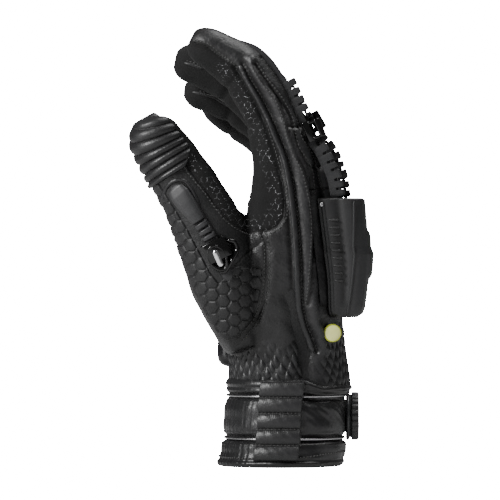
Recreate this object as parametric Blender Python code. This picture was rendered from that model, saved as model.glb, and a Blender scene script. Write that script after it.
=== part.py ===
"""A right-hand armoured leather motorcycle glove, fingers up, as a hand holds it.

+Z runs from the cuff to the fingers, +X is the back of the hand, -X the palm,
and -Y the thumb side. The origin is the middle of the cuff's opening.
Metres throughout.
"""

import math

import bmesh
import bpy
import numpy as np

# Driving sizes
HAND_LENGTH = 0.1167
HAND_BREADTH = 0.104
HAND_DEPTH = 0.068
LEATHER = 0.0022
SEAM_GAP = 0.0003
PANEL_GAP = 0.0005

# Fingers
INDEX_LENGTH = 0.0950
MIDDLE_LENGTH = 0.0970
RING_LENGTH = 0.0820
LITTLE_LENGTH = 0.0640
FINGER_DEPTH = 0.0290
FINGER_TIP_LENGTH = 0.0110

# Thumb
THUMB_REACH = 0.130
THUMB_DEPTH = 0.0400
THUMB_BREADTH = 0.0440
THUMB_TIP_LENGTH = 0.0120

# Cuff
CUFF_HEIGHT = 0.0487
CUFF_LEATHER = 0.0026
CUFF_ROLL = 0.0022
RIB_PANEL_BODY = 0.0012
RIB_PANEL_RIB = 0.0013
RIB_COUNT = 5
LACE_DIAMETER = 0.0012

LACE_CLEARANCE = 0.0015

# Closure dial
DIAL_DIAMETER = 0.0270
DIAL_HEIGHT = 0.0042
DIAL_BASE_HEIGHT = 0.0015
DIAL_RIM_RIBS = 14
DIAL_RIB_DEPTH = 0.0005
DIAL_CHAMFER = 0.0012
DIAL_SPINDLE_DIAMETER = 0.0080
DIAL_SPINDLE_HEIGHT = 0.0020
RUNNING_GAP = 0.0004

# Back armour
BACK_PAD_THICKNESS = 0.0030
POD_HEIGHT = 0.0145
POD_WALL = 0.0026
POD_BREADTH = 0.0860
SPINE_WIDTH = 0.0086
SPINE_HEIGHT = 0.0070
SPINE_STRIP = 0.0026
SPINE_TUCK = 0.0040
TOOTH_PITCH = 0.0051
TOOTH_GAP = 0.0013
KEEPER_LENGTH = 0.0105
KEEPER_WALL = 0.0016
KEEPER_CLEARANCE = 0.0016
KEEPER_HEADROOM = 0.0002

# Thumb armour, palm and trim
RIB_PAD_BODY = 0.0010
RIB_PAD_RIB = 0.0013
RIB_PAD_RIBS = 7
THENAR_PAD_THICKNESS = 0.0014
THUMB_SPINE_WIDTH = 0.0078
THUMB_SPINE_HEIGHT = 0.0046
THUMB_KEEPER_LENGTH = 0.0110
THUMB_KEEPER_HEADROOM = -0.0011
PALM_PATCH_THICKNESS = 0.0013
SLIDER_THICKNESS = 0.0090
BUTTON_DIAMETER = 0.0102
BUTTON_THICKNESS = 0.0022

# Facet counts
HAND_SIDES = 28
FINGER_SIDES = 14
THUMB_SIDES = 16
CUFF_SIDES = 24
LACE_STEPS = 28
DIAL_BASE_SIDES = 24

# The hand from the wrist seam to the finger roots. Heights are shares of HAND_LENGTH
# above the cuff, middle, depth (half of it) and arch are shares of HAND_DEPTH, and
# breadth (half of it) of HAND_BREADTH. square is the superellipse power: 2 is an
# ellipse, more is squarer.
HAND = {
    "height":  (0.0000, 0.1580, 0.2790, 0.4710, 0.6620, 0.8540, 1.0000),
    "middle":  (0.0440, 0.0060, -0.020, -0.030, -0.050, -0.055, -0.050),
    "depth":   (0.4900, 0.4680, 0.4500, 0.4050, 0.3620, 0.3200, 0.2850),
    "breadth": (0.3950, 0.4200, 0.4500, 0.4900, 0.5050, 0.5050, 0.4950),
    "arch":    (0.0000, 0.0200, 0.0500, 0.0850, 0.1150, 0.1250, 0.1250),
    "square":  (2.3000, 2.4000, 2.6000, 3.0000, 3.4000, 3.8000, 4.0000),
}

# Dents in the hand's leather: the turn from the back of the hand and the half
# width, in degrees, the height and half height as shares of HAND_LENGTH, and the
# depth as a share of HAND_DEPTH.
HAND_DENTS = {
    "turn":   (-68.0, 180.0, -112.0, -136.0, 40.0, 112.0),
    "width":  (9.0, 34.0, 8.0, 8.0, 9.0, 10.0),
    "height": (0.137, 0.628, 0.095, 0.130, 0.105, 0.116),
    "reach":  (0.125, 0.251, 0.063, 0.063, 0.063, 0.084),
    "depth":  (0.040, 0.045, 0.022, 0.020, 0.022, 0.025),
}

# The cuff from its hem to the wrist seam. Heights are shares of CUFF_HEIGHT, and
# swell is a share of CUFF_ROLL outside the plain tube: two rolls and a hem with a
# lace channel between each two.
CUFF = {
    "height":  (0.00, 0.06, 0.15, 0.27, 0.30, 0.345, 0.40, 0.56, 0.72, 0.785, 0.83, 0.87, 0.94, 1.00),
    "middle":  (-.033, -.028, -.010, 0.0, .003, .005, .006, .012, .018, .023, .027, .031, .037, .042),
    "depth":   (.500, .496, .500, .494, .494, .494, .488, .484, .486, .492, .496, .488, .488, .492),
    "breadth": (.430, .428, .424, .414, .412, .410, .408, .403, .399, .397, .396, .395, .394, .393),
    "swell":   (0.00, 0.50, 0.35, 0.15, -0.5, -0.50, 0.35, 0.70, 0.40, -0.50, -0.5, 0.35, 0.50, 0.00),
}
RIB_PANEL = {"low": 0.075, "high": 0.985, "turn": (244.0, 254.0, 264.0, 274.0, 284.0)}
LACE_CHANNELS = {"lower_lace": 0.3225, "upper_lace": 0.8075}
CHANNEL_SWELL = -0.5
TOP_SWELL = 0.70

# Each finger's share of the hand's breadth and how it curls. lean is degrees from
# upright towards the palm at each share of the length; depth is a share of
# FINGER_DEPTH and breadth a share of the finger's own cell. keeper is where its
# loop sits and teeth where the spine's teeth end, as shares of the length.
FINGERS = {
    "index": {
        "length": INDEX_LENGTH, "cell": 0.262, "splay": -0.010, "keeper": 0.165, "teeth": 0.50,
        "share":   (0.00, 0.18, 0.35, 0.50, 0.62, 0.75, 0.88, 1.00),
        "lean":    (12.0, 17.0, 23.0, 31.0, 45.0, 57.0, 62.0, 63.0),
        "depth":   (1.20, 1.08, 0.97, 0.98, 0.97, 0.86, 0.76, 0.72),
        "breadth": (1.00, 0.99, 0.96, 0.96, 0.93, 0.87, 0.82, 0.80),
    },
    "middle": {
        "length": MIDDLE_LENGTH, "cell": 0.258, "splay": 0.000, "keeper": 0.190, "teeth": 0.54,
        "share":   (0.00, 0.18, 0.35, 0.50, 0.62, 0.75, 0.88, 1.00),
        "lean":    (14.0, 24.0, 36.0, 48.0, 58.0, 66.0, 72.0, 76.0),
        "depth":   (1.20, 1.04, 0.94, 0.93, 0.90, 0.82, 0.75, 0.72),
        "breadth": (1.00, 0.97, 0.93, 0.93, 0.90, 0.86, 0.82, 0.80),
    },
    "ring": {
        "length": RING_LENGTH, "cell": 0.250, "splay": 0.010, "keeper": 0.200, "teeth": 0.54,
        "share":   (0.00, 0.18, 0.35, 0.50, 0.62, 0.75, 0.88, 1.00),
        "lean":    (9.0, 31.0, 46.0, 56.0, 64.0, 72.0, 78.0, 82.0),
        "depth":   (1.18, 0.97, 0.86, 0.84, 0.80, 0.74, 0.67, 0.63),
        "breadth": (1.00, 0.97, 0.93, 0.92, 0.90, 0.86, 0.82, 0.80),
    },
    "little": {
        "length": LITTLE_LENGTH, "cell": 0.230, "splay": 0.030, "keeper": 0.250, "teeth": 0.58,
        "share":   (0.00, 0.18, 0.35, 0.50, 0.62, 0.75, 0.88, 1.00),
        "lean":    (9.0, 34.0, 52.0, 57.0, 56.0, 54.0, 53.0, 52.0),
        "depth":   (1.00, 0.80, 0.74, 0.72, 0.70, 0.68, 0.64, 0.60),
        "breadth": (1.00, 0.97, 0.93, 0.91, 0.88, 0.85, 0.82, 0.80),
    },
}
SPINE_CONVERGE = 0.12
SPINE_SETTLES = (-0.07, 0.10)
TONGUE = {"along": (0.25, 0.50, 0.75, 1.0), "length": 0.26, "height": 0.60, "width": 0.55}
ROOT_POWER = {"plain": 2.4, "extra": 1.6, "reach": 0.10}
ROOT_TURN = 0.06
ROOT_HOLD = 0.07
ROOT_BLEND = 0.12

# The thumb from its base inside the palm to its tip. up and out place the middle
# line from the wrist seam, upwards and towards the palm side, as shares of
# THUMB_REACH; near is its distance to the thumb side, a share of HAND_BREADTH.
THUMB = {
    "share":   (0.000, 0.125, 0.250, 0.375, 0.500, 0.625, 0.750, 0.875, 1.000),
    "up":      (0.130, 0.262, 0.394, 0.524, 0.652, 0.776, 0.893, 1.005, 1.112),
    "out":     (0.190, 0.237, 0.275, 0.307, 0.350, 0.412, 0.482, 0.553, 0.613),
    "near":    (0.230, 0.290, 0.335, 0.370, 0.400, 0.425, 0.440, 0.450, 0.455),
    "depth":   (0.520, 0.740, 0.930, 1.000, 0.970, 0.890, 0.820, 0.730, 0.610),
    "breadth": (0.900, 1.060, 1.060, 0.980, 0.870, 0.790, 0.730, 0.680, 0.640),
}
THUMB_SHARES = (
    0.0, 0.08, 0.17, 0.26, 0.35, 0.44, 0.53, 0.62, 0.71, 0.80, 0.87, 0.915, 0.955, 0.985, 1.0
)
THUMB_POWER = 2.3
RIB_PAD = {"low": 0.69, "slope": 0.07, "high": 0.985, "sides": range(6, 14)}
THENAR_PAD = {"low": 0.17, "high": 0.62, "sides": range(6, 11)}

# The thumb's spine: from and to which share of the thumb and turn round it, then
# along it its rise and width, shares of its full height and width. It is one strip
# with four blocks, the last of them tapering into a tongue.
THUMB_SPINE_ENDS = {"share": (0.345, 0.70), "turn": (275.0, 249.0)}
THUMB_SPINE = {
    "along": (0.0, .03, .29, .30, .34, .345, .365, .37, .42, .425, .445, .45, .50, .505, .525, .53,
              .64, .76, .88, 1.0),
    "rise":  (.40, .57, .57, 1.0, 1.0, .57, .57, 1.0, 1.0, .57, .57, 1.0, 1.0, .57, .57, 1.0,
              1.0, .57, .57, .28),
    "wide":  (.60, 1.0, 1.0, 1.0, 1.0, 1.0, 1.0, 1.0, 1.0, 1.0, 1.0, 1.0, 1.0, 1.0, 1.0, 1.0,
              1.0, .90, .75, .40),
}
THUMB_KEEPER_SHARE = 0.400

# The pod over the knuckles, along from its closed end to its mouth: how far it
# rises over the pad, a share of POD_HEIGHT, and its breadth, a share of POD_BREADTH.
POD = {
    "along":   (0.00, 0.03, 0.09, 0.20, 0.54, 0.60, 0.80, 1.00),
    "rise":    (0.30, 0.52, 0.64, 0.74, 1.00, 0.93, 0.98, 1.00),
    "breadth": (0.78, 0.82, 0.85, 0.88, 0.95, 0.95, 0.98, 1.00),
}
POD_SPAN = (0.294, 0.855)
POD_ACROSS = (-1.0, -1.0, -0.93, -0.80, -0.42, 0.0, 0.42, 0.80, 0.93, 1.0, 1.0)
POD_CROWN = (0.0, 0.70, 0.90, 0.97, 1.0, 1.0, 1.0, 0.97, 0.90, 0.70, 0.0)

# Where the panels lie on the hand. Heights are shares of HAND_LENGTH above the cuff,
# sides counts the facets from the back of the hand, and an edge is the share of the
# thickness that is left at a panel's rim.
BACK_PAD = {"low": 0.281, "low_sides": 0.077, "high": 0.920, "high_sides": -0.026, "edge": 0.45}
PALM_PATCH = {"height": (0.302, 0.937), "sides": range(9, 14)}
PALM_SLIDER = {"height": (0.050, 0.097, 0.183, 0.230), "sides": range(10, 14)}
PATCH_EDGE = 0.5
BUTTON_PLACE = {"height": 0.221, "turn": -45.0}

FINISHES = {
    "leather":      {"colour": (0.018, 0.018, 0.019), "rough": 0.48, "metal": 0.0},
    "soft_leather": {"colour": (0.024, 0.023, 0.024), "rough": 0.55, "metal": 0.0},
    "suede":        {"colour": (0.012, 0.012, 0.013), "rough": 0.90, "metal": 0.0},
    "moulding":     {"colour": (0.035, 0.035, 0.037), "rough": 0.50, "metal": 0.0},
    "gloss":        {"colour": (0.012, 0.012, 0.013), "rough": 0.18, "metal": 0.0},
    "steel":        {"colour": (0.700, 0.700, 0.700), "rough": 0.25, "metal": 1.0},
    "button":       {"colour": (0.780, 0.850, 0.420), "rough": 0.40, "metal": 0.0},
}


def clear_scene():
    for item in list(bpy.data.objects):
        bpy.data.objects.remove(item)


def finish(name):
    """The named finish as a Principled material, made once."""
    found = bpy.data.materials.get(name)
    if found:
        return found
    values = FINISHES[name]
    made = bpy.data.materials.new(name)
    made.use_nodes = True
    shader = made.node_tree.nodes["Principled BSDF"]
    shader.inputs["Base Color"].default_value = (*values["colour"], 1.0)
    shader.inputs["Roughness"].default_value = values["rough"]
    shader.inputs["Metallic"].default_value = values["metal"]
    return made


def place(name, points, faces, material):
    """One named object from world points and faces, its faces turned outwards."""
    mesh = bpy.data.meshes.new(name)
    mesh.from_pydata([tuple(p) for p in points], [], [tuple(f) for f in faces])
    work = bmesh.new()
    work.from_mesh(mesh)
    bmesh.ops.recalc_face_normals(work, faces=work.faces)
    work.to_mesh(mesh)
    work.free()
    mesh.shade_smooth()
    mesh.set_sharp_from_angle(angle=math.radians(40))
    mesh.materials.append(finish(material))
    item = bpy.data.objects.new(name, mesh)
    bpy.context.scene.collection.objects.link(item)
    return item


def eased(known, values, at):
    """A smooth curve through a table's column: cubic Hermite with mean slopes."""
    known, values = np.asarray(known, float), np.asarray(values, float)
    slopes = np.gradient(values, known)
    at = np.clip(np.asarray(at, float), known[0], known[-1])
    i = np.clip(np.searchsorted(known, at) - 1, 0, len(known) - 2)
    span = known[i + 1] - known[i]
    t = (at - known[i]) / span
    return (
        values[i] * (1 + 2 * t) * (1 - t) ** 2
        + slopes[i] * span * t * (1 - t) ** 2
        + values[i + 1] * t * t * (3 - 2 * t)
        + slopes[i + 1] * span * t * t * (t - 1)
    )


def turns(sides):
    return np.arange(sides) * 2 * math.pi / sides


def squared(angle, power):
    """(dorsal, across) unit offsets of a superellipse in a given direction."""
    c, s = np.cos(angle), np.sin(angle)
    reach = (np.abs(c) ** power + np.abs(s) ** power) ** (-1 / power)
    return c * reach, s * reach


def band_faces(rows, columns, start=0, closed=True):
    """Quads between neighbouring rows of a grid that starts at a given point."""
    width = columns if closed else columns - 1
    return [
        (
            start + r * columns + c,
            start + r * columns + (c + 1) % columns,
            start + (r + 1) * columns + (c + 1) % columns,
            start + (r + 1) * columns + c,
        )
        for r in range(rows - 1)
        for c in range(width)
    ]


def tube_wall(name, outer, inner, material):
    """A wall open at both ends, from matching outer and inner rings."""
    rows, sides = outer.shape[:2]
    count = rows * sides
    faces = band_faces(rows, sides) + band_faces(rows, sides, count)
    top = (rows - 1) * sides
    for c in range(sides):
        d = (c + 1) % sides
        faces.append((c, count + c, count + d, d))
        faces.append((top + c, top + d, count + top + d, count + top + c))
    points = np.concatenate([outer.reshape(-1, 3), inner.reshape(-1, 3)])
    return place(name, points, faces, material)


def sock(name, outer, inner, material):
    """A wall open at its first ring. The last ring of each skin is one point."""
    rows, sides = outer.shape[:2]
    skin = (rows - 1) * sides + 1
    faces = []
    for start in (0, skin):
        last = start + (rows - 2) * sides
        faces += band_faces(rows - 1, sides, start)
        faces += [(last + c, last + (c + 1) % sides, start + skin - 1) for c in range(sides)]
    faces += [(c, skin + c, skin + (c + 1) % sides, (c + 1) % sides) for c in range(sides)]
    points = np.concatenate(
        [outer[:-1].reshape(-1, 3), outer[-1, :1], inner[:-1].reshape(-1, 3), inner[-1, :1]]
    )
    return place(name, points, faces, material)


def closed_loft(name, rings, material):
    """A solid between its first and last ring, which are filled flat."""
    rows, sides = rings.shape[:2]
    faces = band_faces(rows, sides)
    faces.append(tuple(range(sides)))
    faces.append(tuple((rows - 1) * sides + c for c in range(sides)))
    return place(name, rings.reshape(-1, 3), faces, material)


def slab(name, outer, inner, material):
    """A solid sheet between two matching open grids."""
    rows, columns = outer.shape[:2]
    count = rows * columns
    faces = band_faces(rows, columns, 0, closed=False)
    faces += band_faces(rows, columns, count, closed=False)
    edge = [(0, c) for c in range(columns)]
    edge += [(r, columns - 1) for r in range(1, rows)]
    edge += [(rows - 1, c) for c in range(columns - 2, -1, -1)]
    edge += [(r, 0) for r in range(rows - 2, 0, -1)]
    ids = [r * columns + c for r, c in edge]
    faces += [(a, b, count + b, count + a) for a, b in zip(ids, ids[1:] + ids[:1])]
    points = np.concatenate([outer.reshape(-1, 3), inner.reshape(-1, 3)])
    return place(name, points, faces, material)


def disc_stack(name, centre, axis, rings, sides, material, rim=None):
    """A turned solid: rings of (radius, distance along the axis), closed at both
    ends by a point. rim gives each side's share of the radius on the outer rings."""
    axis = np.asarray(axis, float) / np.linalg.norm(axis)
    first = np.cross(axis, (0.0, 0.0, 1.0))
    first /= np.linalg.norm(first)
    second = np.cross(axis, first)
    angle = turns(sides)[:, None]
    spoke = np.cos(angle) * first + np.sin(angle) * second
    rim = np.ones(sides) if rim is None else rim
    outermost = max(radius for radius, _ in rings)
    points = [centre + axis * rings[0][1]]
    for radius, along in rings[1:-1]:
        share = rim if radius == outermost else np.ones(sides)
        points += list(centre + axis * along + spoke * radius * share[:, None])
    points.append(centre + axis * rings[-1][1])
    last = len(points) - 1
    faces = [(0, 1 + (c + 1) % sides, 1 + c) for c in range(sides)]
    faces += band_faces(len(rings) - 2, sides, 1)
    start = last - sides
    faces += [(last, start + c, start + (c + 1) % sides) for c in range(sides)]
    return place(name, points, faces, material)


def cut(item, cutter):
    """Cuts the item with a hidden helper, which stays in the file as a wire."""
    cutter.hide_render = True
    cutter.display_type = "WIRE"
    modifier = item.modifiers.new(cutter.name, "BOOLEAN")
    modifier.operation = "DIFFERENCE"
    modifier.object = cutter
    modifier.solver = "EXACT"


def along_facets(rings, known, at):
    """Points between rings, straight from one to the next as the facets run. at has
    a row for each new row and, where it differs, a column for each side."""
    known = np.asarray(known, float)
    at = np.asarray(at, float)
    at = at if at.ndim == 2 else np.repeat(at[:, None], rings.shape[1], axis=1)
    i = np.clip(np.searchsorted(known, at, side="right") - 1, 0, len(known) - 2)
    t = ((at - known[i]) / (known[i + 1] - known[i]))[..., None]
    column = np.arange(rings.shape[1])[None, :]
    return rings[i, column] * (1 - t) + rings[i + 1, column] * t


def hand_at(height):
    """(middle, half depth, half breadth, arch, power) of the hand at a height."""
    share = (np.asarray(height, float) - CUFF_HEIGHT) / HAND_LENGTH
    return (
        eased(HAND["height"], HAND["middle"], share) * HAND_DEPTH,
        eased(HAND["height"], HAND["depth"], share) * HAND_DEPTH,
        eased(HAND["height"], HAND["breadth"], share) * HAND_BREADTH,
        eased(HAND["height"], HAND["arch"], share) * HAND_DEPTH,
        eased(HAND["height"], HAND["square"], share),
    )


def dent(height, angle):
    """How deep the dents lie below the plain hand: a bell in turn and in height."""
    share = (np.asarray(height, float) - CUFF_HEIGHT) / HAND_LENGTH
    total = 0.0
    for turn, width, middle, reach, depth in zip(*HAND_DENTS.values()):
        off = (np.degrees(angle) - turn + 180) % 360 - 180
        total = total + depth * HAND_DEPTH * np.exp(
            -((off / width) ** 2) - ((share - middle) / reach) ** 2
        )
    return total


def hand_skin(height, angle, grow=0.0):
    """The hand's surface: a superellipse whose middle line is arched towards the
    back, as knuckles are. It has the dents where it isn't a cutter."""
    middle, depth, breadth, arch, power = hand_at(height)
    dorsal, across = squared(angle, power)
    sink = grow - dent(height, angle)
    y = across * (breadth + sink)
    x = middle + dorsal * (depth + sink) + arch * (1 - np.minimum((y / breadth) ** 2, 1.2))
    return np.stack([x, y, np.broadcast_to(height, x.shape)], axis=-1)


def hand_rings(heights, grow=0.0):
    return hand_skin(np.asarray(heights, float)[:, None], turns(HAND_SIDES)[None, :], grow)


def hand_side(y, height, side=1, grow=0.0):
    """x of the plain hand's back (side 1) or palm (side -1) at a place across it."""
    middle, depth, breadth, arch, power = hand_at(height)
    y = np.asarray(y, float)
    fall = np.clip(1 - np.abs(y / (breadth + grow)) ** power, 0, 1) ** (1 / power)
    return middle + side * (depth + grow) * fall + arch * (1 - (y / breadth) ** 2)


def cuff_skin(height, angle, grow=0.0, swell=None):
    """The cuff's surface. swell in place of the table's gives a plain tube."""
    share = np.asarray(height, float) / CUFF_HEIGHT
    roll = eased(CUFF["height"], CUFF["swell"], share) if swell is None else swell
    proud = roll * CUFF_ROLL + grow
    dorsal, across = squared(angle, HAND["square"][0])
    x = dorsal * (eased(CUFF["height"], CUFF["depth"], share) * HAND_DEPTH + proud)
    x = x + eased(CUFF["height"], CUFF["middle"], share) * HAND_DEPTH
    y = across * (eased(CUFF["height"], CUFF["breadth"], share) * HAND_BREADTH + proud)
    return np.stack([x, y, np.broadcast_to(height, x.shape)], axis=-1)


def cuff_back(y, height, grow=0.0):
    """x of the cuff's back over its rolls at a place across it."""
    share = height / CUFF_HEIGHT
    proud = TOP_SWELL * CUFF_ROLL + grow
    power = HAND["square"][0]
    breadth = eased(CUFF["height"], CUFF["breadth"], share) * HAND_BREADTH + proud
    depth = eased(CUFF["height"], CUFF["depth"], share) * HAND_DEPTH + proud
    fall = np.clip(1 - np.abs(y / breadth) ** power, 0, 1) ** (1 / power)
    return eased(CUFF["height"], CUFF["middle"], share) * HAND_DEPTH + depth * fall


ROOT_HEIGHT = CUFF_HEIGHT + HAND_LENGTH
ROOT_BREADTH = 2 * HAND["breadth"][-1] * HAND_BREADTH
ACROSS = np.array([0.0, 1.0, 0.0])
PROBE = 0.001
TURN_PROBE = 0.1


def finger_cell(name):
    """(middle, half width) of a finger's strip across the hand."""
    names = list(FINGERS)
    before = sum(FINGERS[n]["cell"] for n in names[: names.index(name)])
    half = FINGERS[name]["cell"] * ROOT_BREADTH / 2
    return before * ROOT_BREADTH - ROOT_BREADTH / 2 + half, half - SEAM_GAP


def finger_line(name, share):
    """Points, dorsal and forward directions and half sizes along a finger."""
    finger = FINGERS[name]
    share = np.asarray(share, float)
    fine = np.linspace(0, 1, 241)
    lean = np.radians(eased(finger["share"], finger["lean"], fine))
    step = finger["length"] / (len(fine) - 1)
    run = np.concatenate([[0], np.cumsum((np.sin(lean[1:]) + np.sin(lean[:-1])) / 2)]) * step
    rise = np.concatenate([[0], np.cumsum((np.cos(lean[1:]) + np.cos(lean[:-1])) / 2)]) * step
    y, half_width = finger_cell(name)
    back, palm = (float(hand_side(y, ROOT_HEIGHT, side)) for side in (1, -1))
    x = (back + palm) / 2 - np.interp(share, fine, run)
    z = ROOT_HEIGHT + SEAM_GAP + np.interp(share, fine, rise)
    y = y + finger["splay"] * HAND_BREADTH * share**2
    angle = np.interp(share, fine, lean) * np.clip(share / ROOT_TURN, 0, 1)
    nought = np.zeros_like(angle)
    dorsal = np.stack([np.cos(angle), nought, np.sin(angle)], axis=-1)
    forward = np.stack([-np.sin(angle), nought, np.cos(angle)], axis=-1)
    blend = np.clip(share / ROOT_BLEND, 0, 1)
    depth = eased(finger["share"], finger["depth"], share) * FINGER_DEPTH / 2
    depth = (back - palm) / 2 * (1 - blend) + depth * blend
    breadth = eased(finger["share"], finger["breadth"], share) * half_width
    return np.stack([x, y, z], axis=-1), dorsal, forward, depth, breadth


def thumb_line(share):
    """Points, inward and forward directions and half sizes along the thumb."""
    share = np.asarray(share, float)

    def middle_at(s):
        x = CUFF["middle"][-1] * HAND_DEPTH - eased(THUMB["share"], THUMB["out"], s) * THUMB_REACH
        y = -eased(THUMB["share"], THUMB["near"], s) * HAND_BREADTH
        z = CUFF_HEIGHT + eased(THUMB["share"], THUMB["up"], s) * THUMB_REACH
        return np.stack([x, y, z], axis=-1)

    small = 0.01
    run = middle_at(np.minimum(share + small, 1)) - middle_at(np.maximum(share - small, 0))
    angle = np.arctan2(-run[..., 0], run[..., 2])
    nought = np.zeros_like(angle)
    inward = np.stack([np.cos(angle), nought, np.sin(angle)], axis=-1)
    forward = np.stack([-np.sin(angle), nought, np.cos(angle)], axis=-1)
    depth = eased(THUMB["share"], THUMB["depth"], share) * THUMB_DEPTH / 2
    breadth = eased(THUMB["share"], THUMB["breadth"], share) * THUMB_BREADTH / 2
    return middle_at(share), inward, forward, depth, breadth


def stall_rings(line, shares, length, tip, power, sides, grow=0.0):
    """Rings along a finger or thumb, its tip rounded as a quarter ellipse. grow moves
    the skin straight out, at the tip forwards."""
    shares = np.asarray(shares, float)
    middle, out, forward, depth, breadth = line
    into = np.clip((shares * length - (length - tip)) / tip, 0, 1)
    closing = np.sqrt(np.clip(1 - into**2, 0, 1))
    dorsal, across = squared(turns(sides)[None, :], power)
    up = (dorsal * ((depth + grow) * closing)[:, None])[..., None] * out[:, None]
    side = (across * ((breadth + grow) * closing)[:, None])[..., None] * ACROSS
    return (middle + forward * (into * grow)[:, None])[:, None] + up + side


def finger_rings(name, shares, grow=0.0):
    """A finger's rings. Its root keeps inside the hand's own outline."""
    shares = np.asarray(shares, float)
    extra = ROOT_POWER["extra"] * np.exp(-shares / ROOT_POWER["reach"])
    power = (ROOT_POWER["plain"] + extra)[:, None]
    length = FINGERS[name]["length"]
    line = finger_line(name, shares)
    rings = stall_rings(line, shares, length, FINGER_TIP_LENGTH, power, FINGER_SIDES, grow)
    held = np.exp(-((shares / ROOT_HOLD) ** 2))[:, None]
    back = hand_side(rings[..., 1], ROOT_HEIGHT, 1, grow)
    palm = hand_side(rings[..., 1], ROOT_HEIGHT, -1, grow)
    kept = np.clip(rings[..., 0], palm, back)
    rings[..., 0] = rings[..., 0] * (1 - held) + kept * held
    return rings


def thumb_rings(shares, grow=0.0):
    line = thumb_line(shares)
    return stall_rings(line, shares, THUMB_REACH, THUMB_TIP_LENGTH, THUMB_POWER, THUMB_SIDES, grow)


POD_FOOT, POD_MOUTH = (CUFF_HEIGHT + share * HAND_LENGTH for share in POD_SPAN)
FINGER_SHARES = (0, 0.06, 0.14, 0.24, 0.36, 0.46, 0.56, 0.66, 0.76, 0.86, 0.93, 0.975, 1.0)
HAND_HEIGHTS = CUFF_HEIGHT + SEAM_GAP + np.array(
    [0.0, 0.07, 0.14, 0.22, 0.32, 0.44, 0.56, 0.68, 0.80, 0.91, 1.0]
) * (ROOT_HEIGHT - CUFF_HEIGHT - SEAM_GAP)


def make_hand():
    """The hand's leather: a tube with a flat web at the finger roots, pierced for
    the four fingers and the thumb."""
    outer = hand_rings(HAND_HEIGHTS)
    inner = hand_rings(np.minimum(HAND_HEIGHTS, ROOT_HEIGHT - LEATHER), -LEATHER)
    rows, sides = outer.shape[:2]
    count = rows * sides
    faces = band_faces(rows, sides) + band_faces(rows, sides, count)
    faces += [(c, count + c, count + (c + 1) % sides, (c + 1) % sides) for c in range(sides)]
    faces.append(tuple((rows - 1) * sides + c for c in range(sides)))
    faces.append(tuple(count + (rows - 1) * sides + c for c in range(sides)))
    points = np.concatenate([outer.reshape(-1, 3), inner.reshape(-1, 3)])
    hand = place("hand", points, faces, "leather")
    for name in FINGERS:
        ring = finger_rings(name, [0.0, 0.02], -LEATHER)[0]
        low, high = ring.copy(), ring.copy()
        low[:, 2] -= 2 * LEATHER
        high[:, 2] += LEATHER
        cut(hand, closed_loft(f"{name}_root_cutter", np.array([low, high]), "leather"))
    hole = thumb_rings(THUMB_SHARES[:-4], -LEATHER)
    cut(hand, closed_loft("thumb_hole_cutter", hole, "leather"))


def make_finger(name):
    """A leather stall for one finger, open at its root."""
    sock(
        f"{name}_finger",
        finger_rings(name, FINGER_SHARES),
        finger_rings(name, FINGER_SHARES, -LEATHER),
        "leather",
    )


def make_thumb():
    """The thumb's leather, closed at its tip and trimmed to the hand."""
    thumb = sock("thumb", thumb_rings(THUMB_SHARES), thumb_rings(THUMB_SHARES, -LEATHER), "leather")
    heights = np.append(CUFF_HEIGHT - LEATHER, HAND_HEIGHTS[1:])
    cut(thumb, closed_loft("hand_body_cutter", hand_rings(heights, SEAM_GAP), "leather"))


DIAL_CENTRE_HEIGHT = sum(LACE_CHANNELS.values()) / 2 * CUFF_HEIGHT


def make_cuff():
    """The cuff: one padded tube with two lace channels round it."""
    heights = (np.array(CUFF["height"]) * CUFF_HEIGHT)[:, None]
    angle = turns(CUFF_SIDES)[None, :]
    inner = cuff_skin(heights, angle, -CUFF_LEATHER, CHANNEL_SWELL)
    tube_wall("cuff", cuff_skin(heights, angle), inner, "soft_leather")


def make_rib_panel():
    """The accordion panel on the cuff's thumb side: rows of ribs over the rolls."""
    rows = np.linspace(RIB_PANEL["low"], RIB_PANEL["high"], 4 * RIB_COUNT + 1)
    rib = np.abs(np.sin(np.linspace(0, RIB_COUNT * math.pi, len(rows))))
    heights = (rows * CUFF_HEIGHT)[:, None]
    angle = np.radians(RIB_PANEL["turn"])[None, :]
    proud = (PANEL_GAP + RIB_PANEL_BODY + RIB_PANEL_RIB * rib)[:, None]
    outer = cuff_skin(heights, angle, proud, TOP_SWELL)
    slab("cuff_rib_panel", outer, cuff_skin(heights, angle, PANEL_GAP, TOP_SWELL), "leather")


def make_lace(name):
    """A steel lace in its channel, from one side of the dial's base round to the other."""
    height = LACE_CHANNELS[name] * CUFF_HEIGHT
    radius = LACE_DIAMETER / 2
    beside = max((DIAL_DIAMETER / 2) ** 2 - (height - DIAL_CENTRE_HEIGHT) ** 2, 0) ** 0.5
    breadth = eased(CUFF["height"], CUFF["breadth"], LACE_CHANNELS[name]) * HAND_BREADTH
    start = math.atan2(beside + LACE_CLEARANCE, float(breadth))
    angle = np.linspace(start, 2 * math.pi - start, LACE_STEPS)
    line = cuff_skin(height, angle, radius + PANEL_GAP, CHANNEL_SWELL)
    run = np.gradient(line, axis=0)
    run /= np.linalg.norm(run, axis=1, keepdims=True)
    out = np.cross(run, (0.0, 0.0, 1.0))
    side = turns(5)[None, :, None]
    rings = line[:, None] + radius * (np.cos(side) * out[:, None] + np.sin(side) * [0.0, 0.0, 1.0])
    closed_loft(name, rings, "steel")


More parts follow.
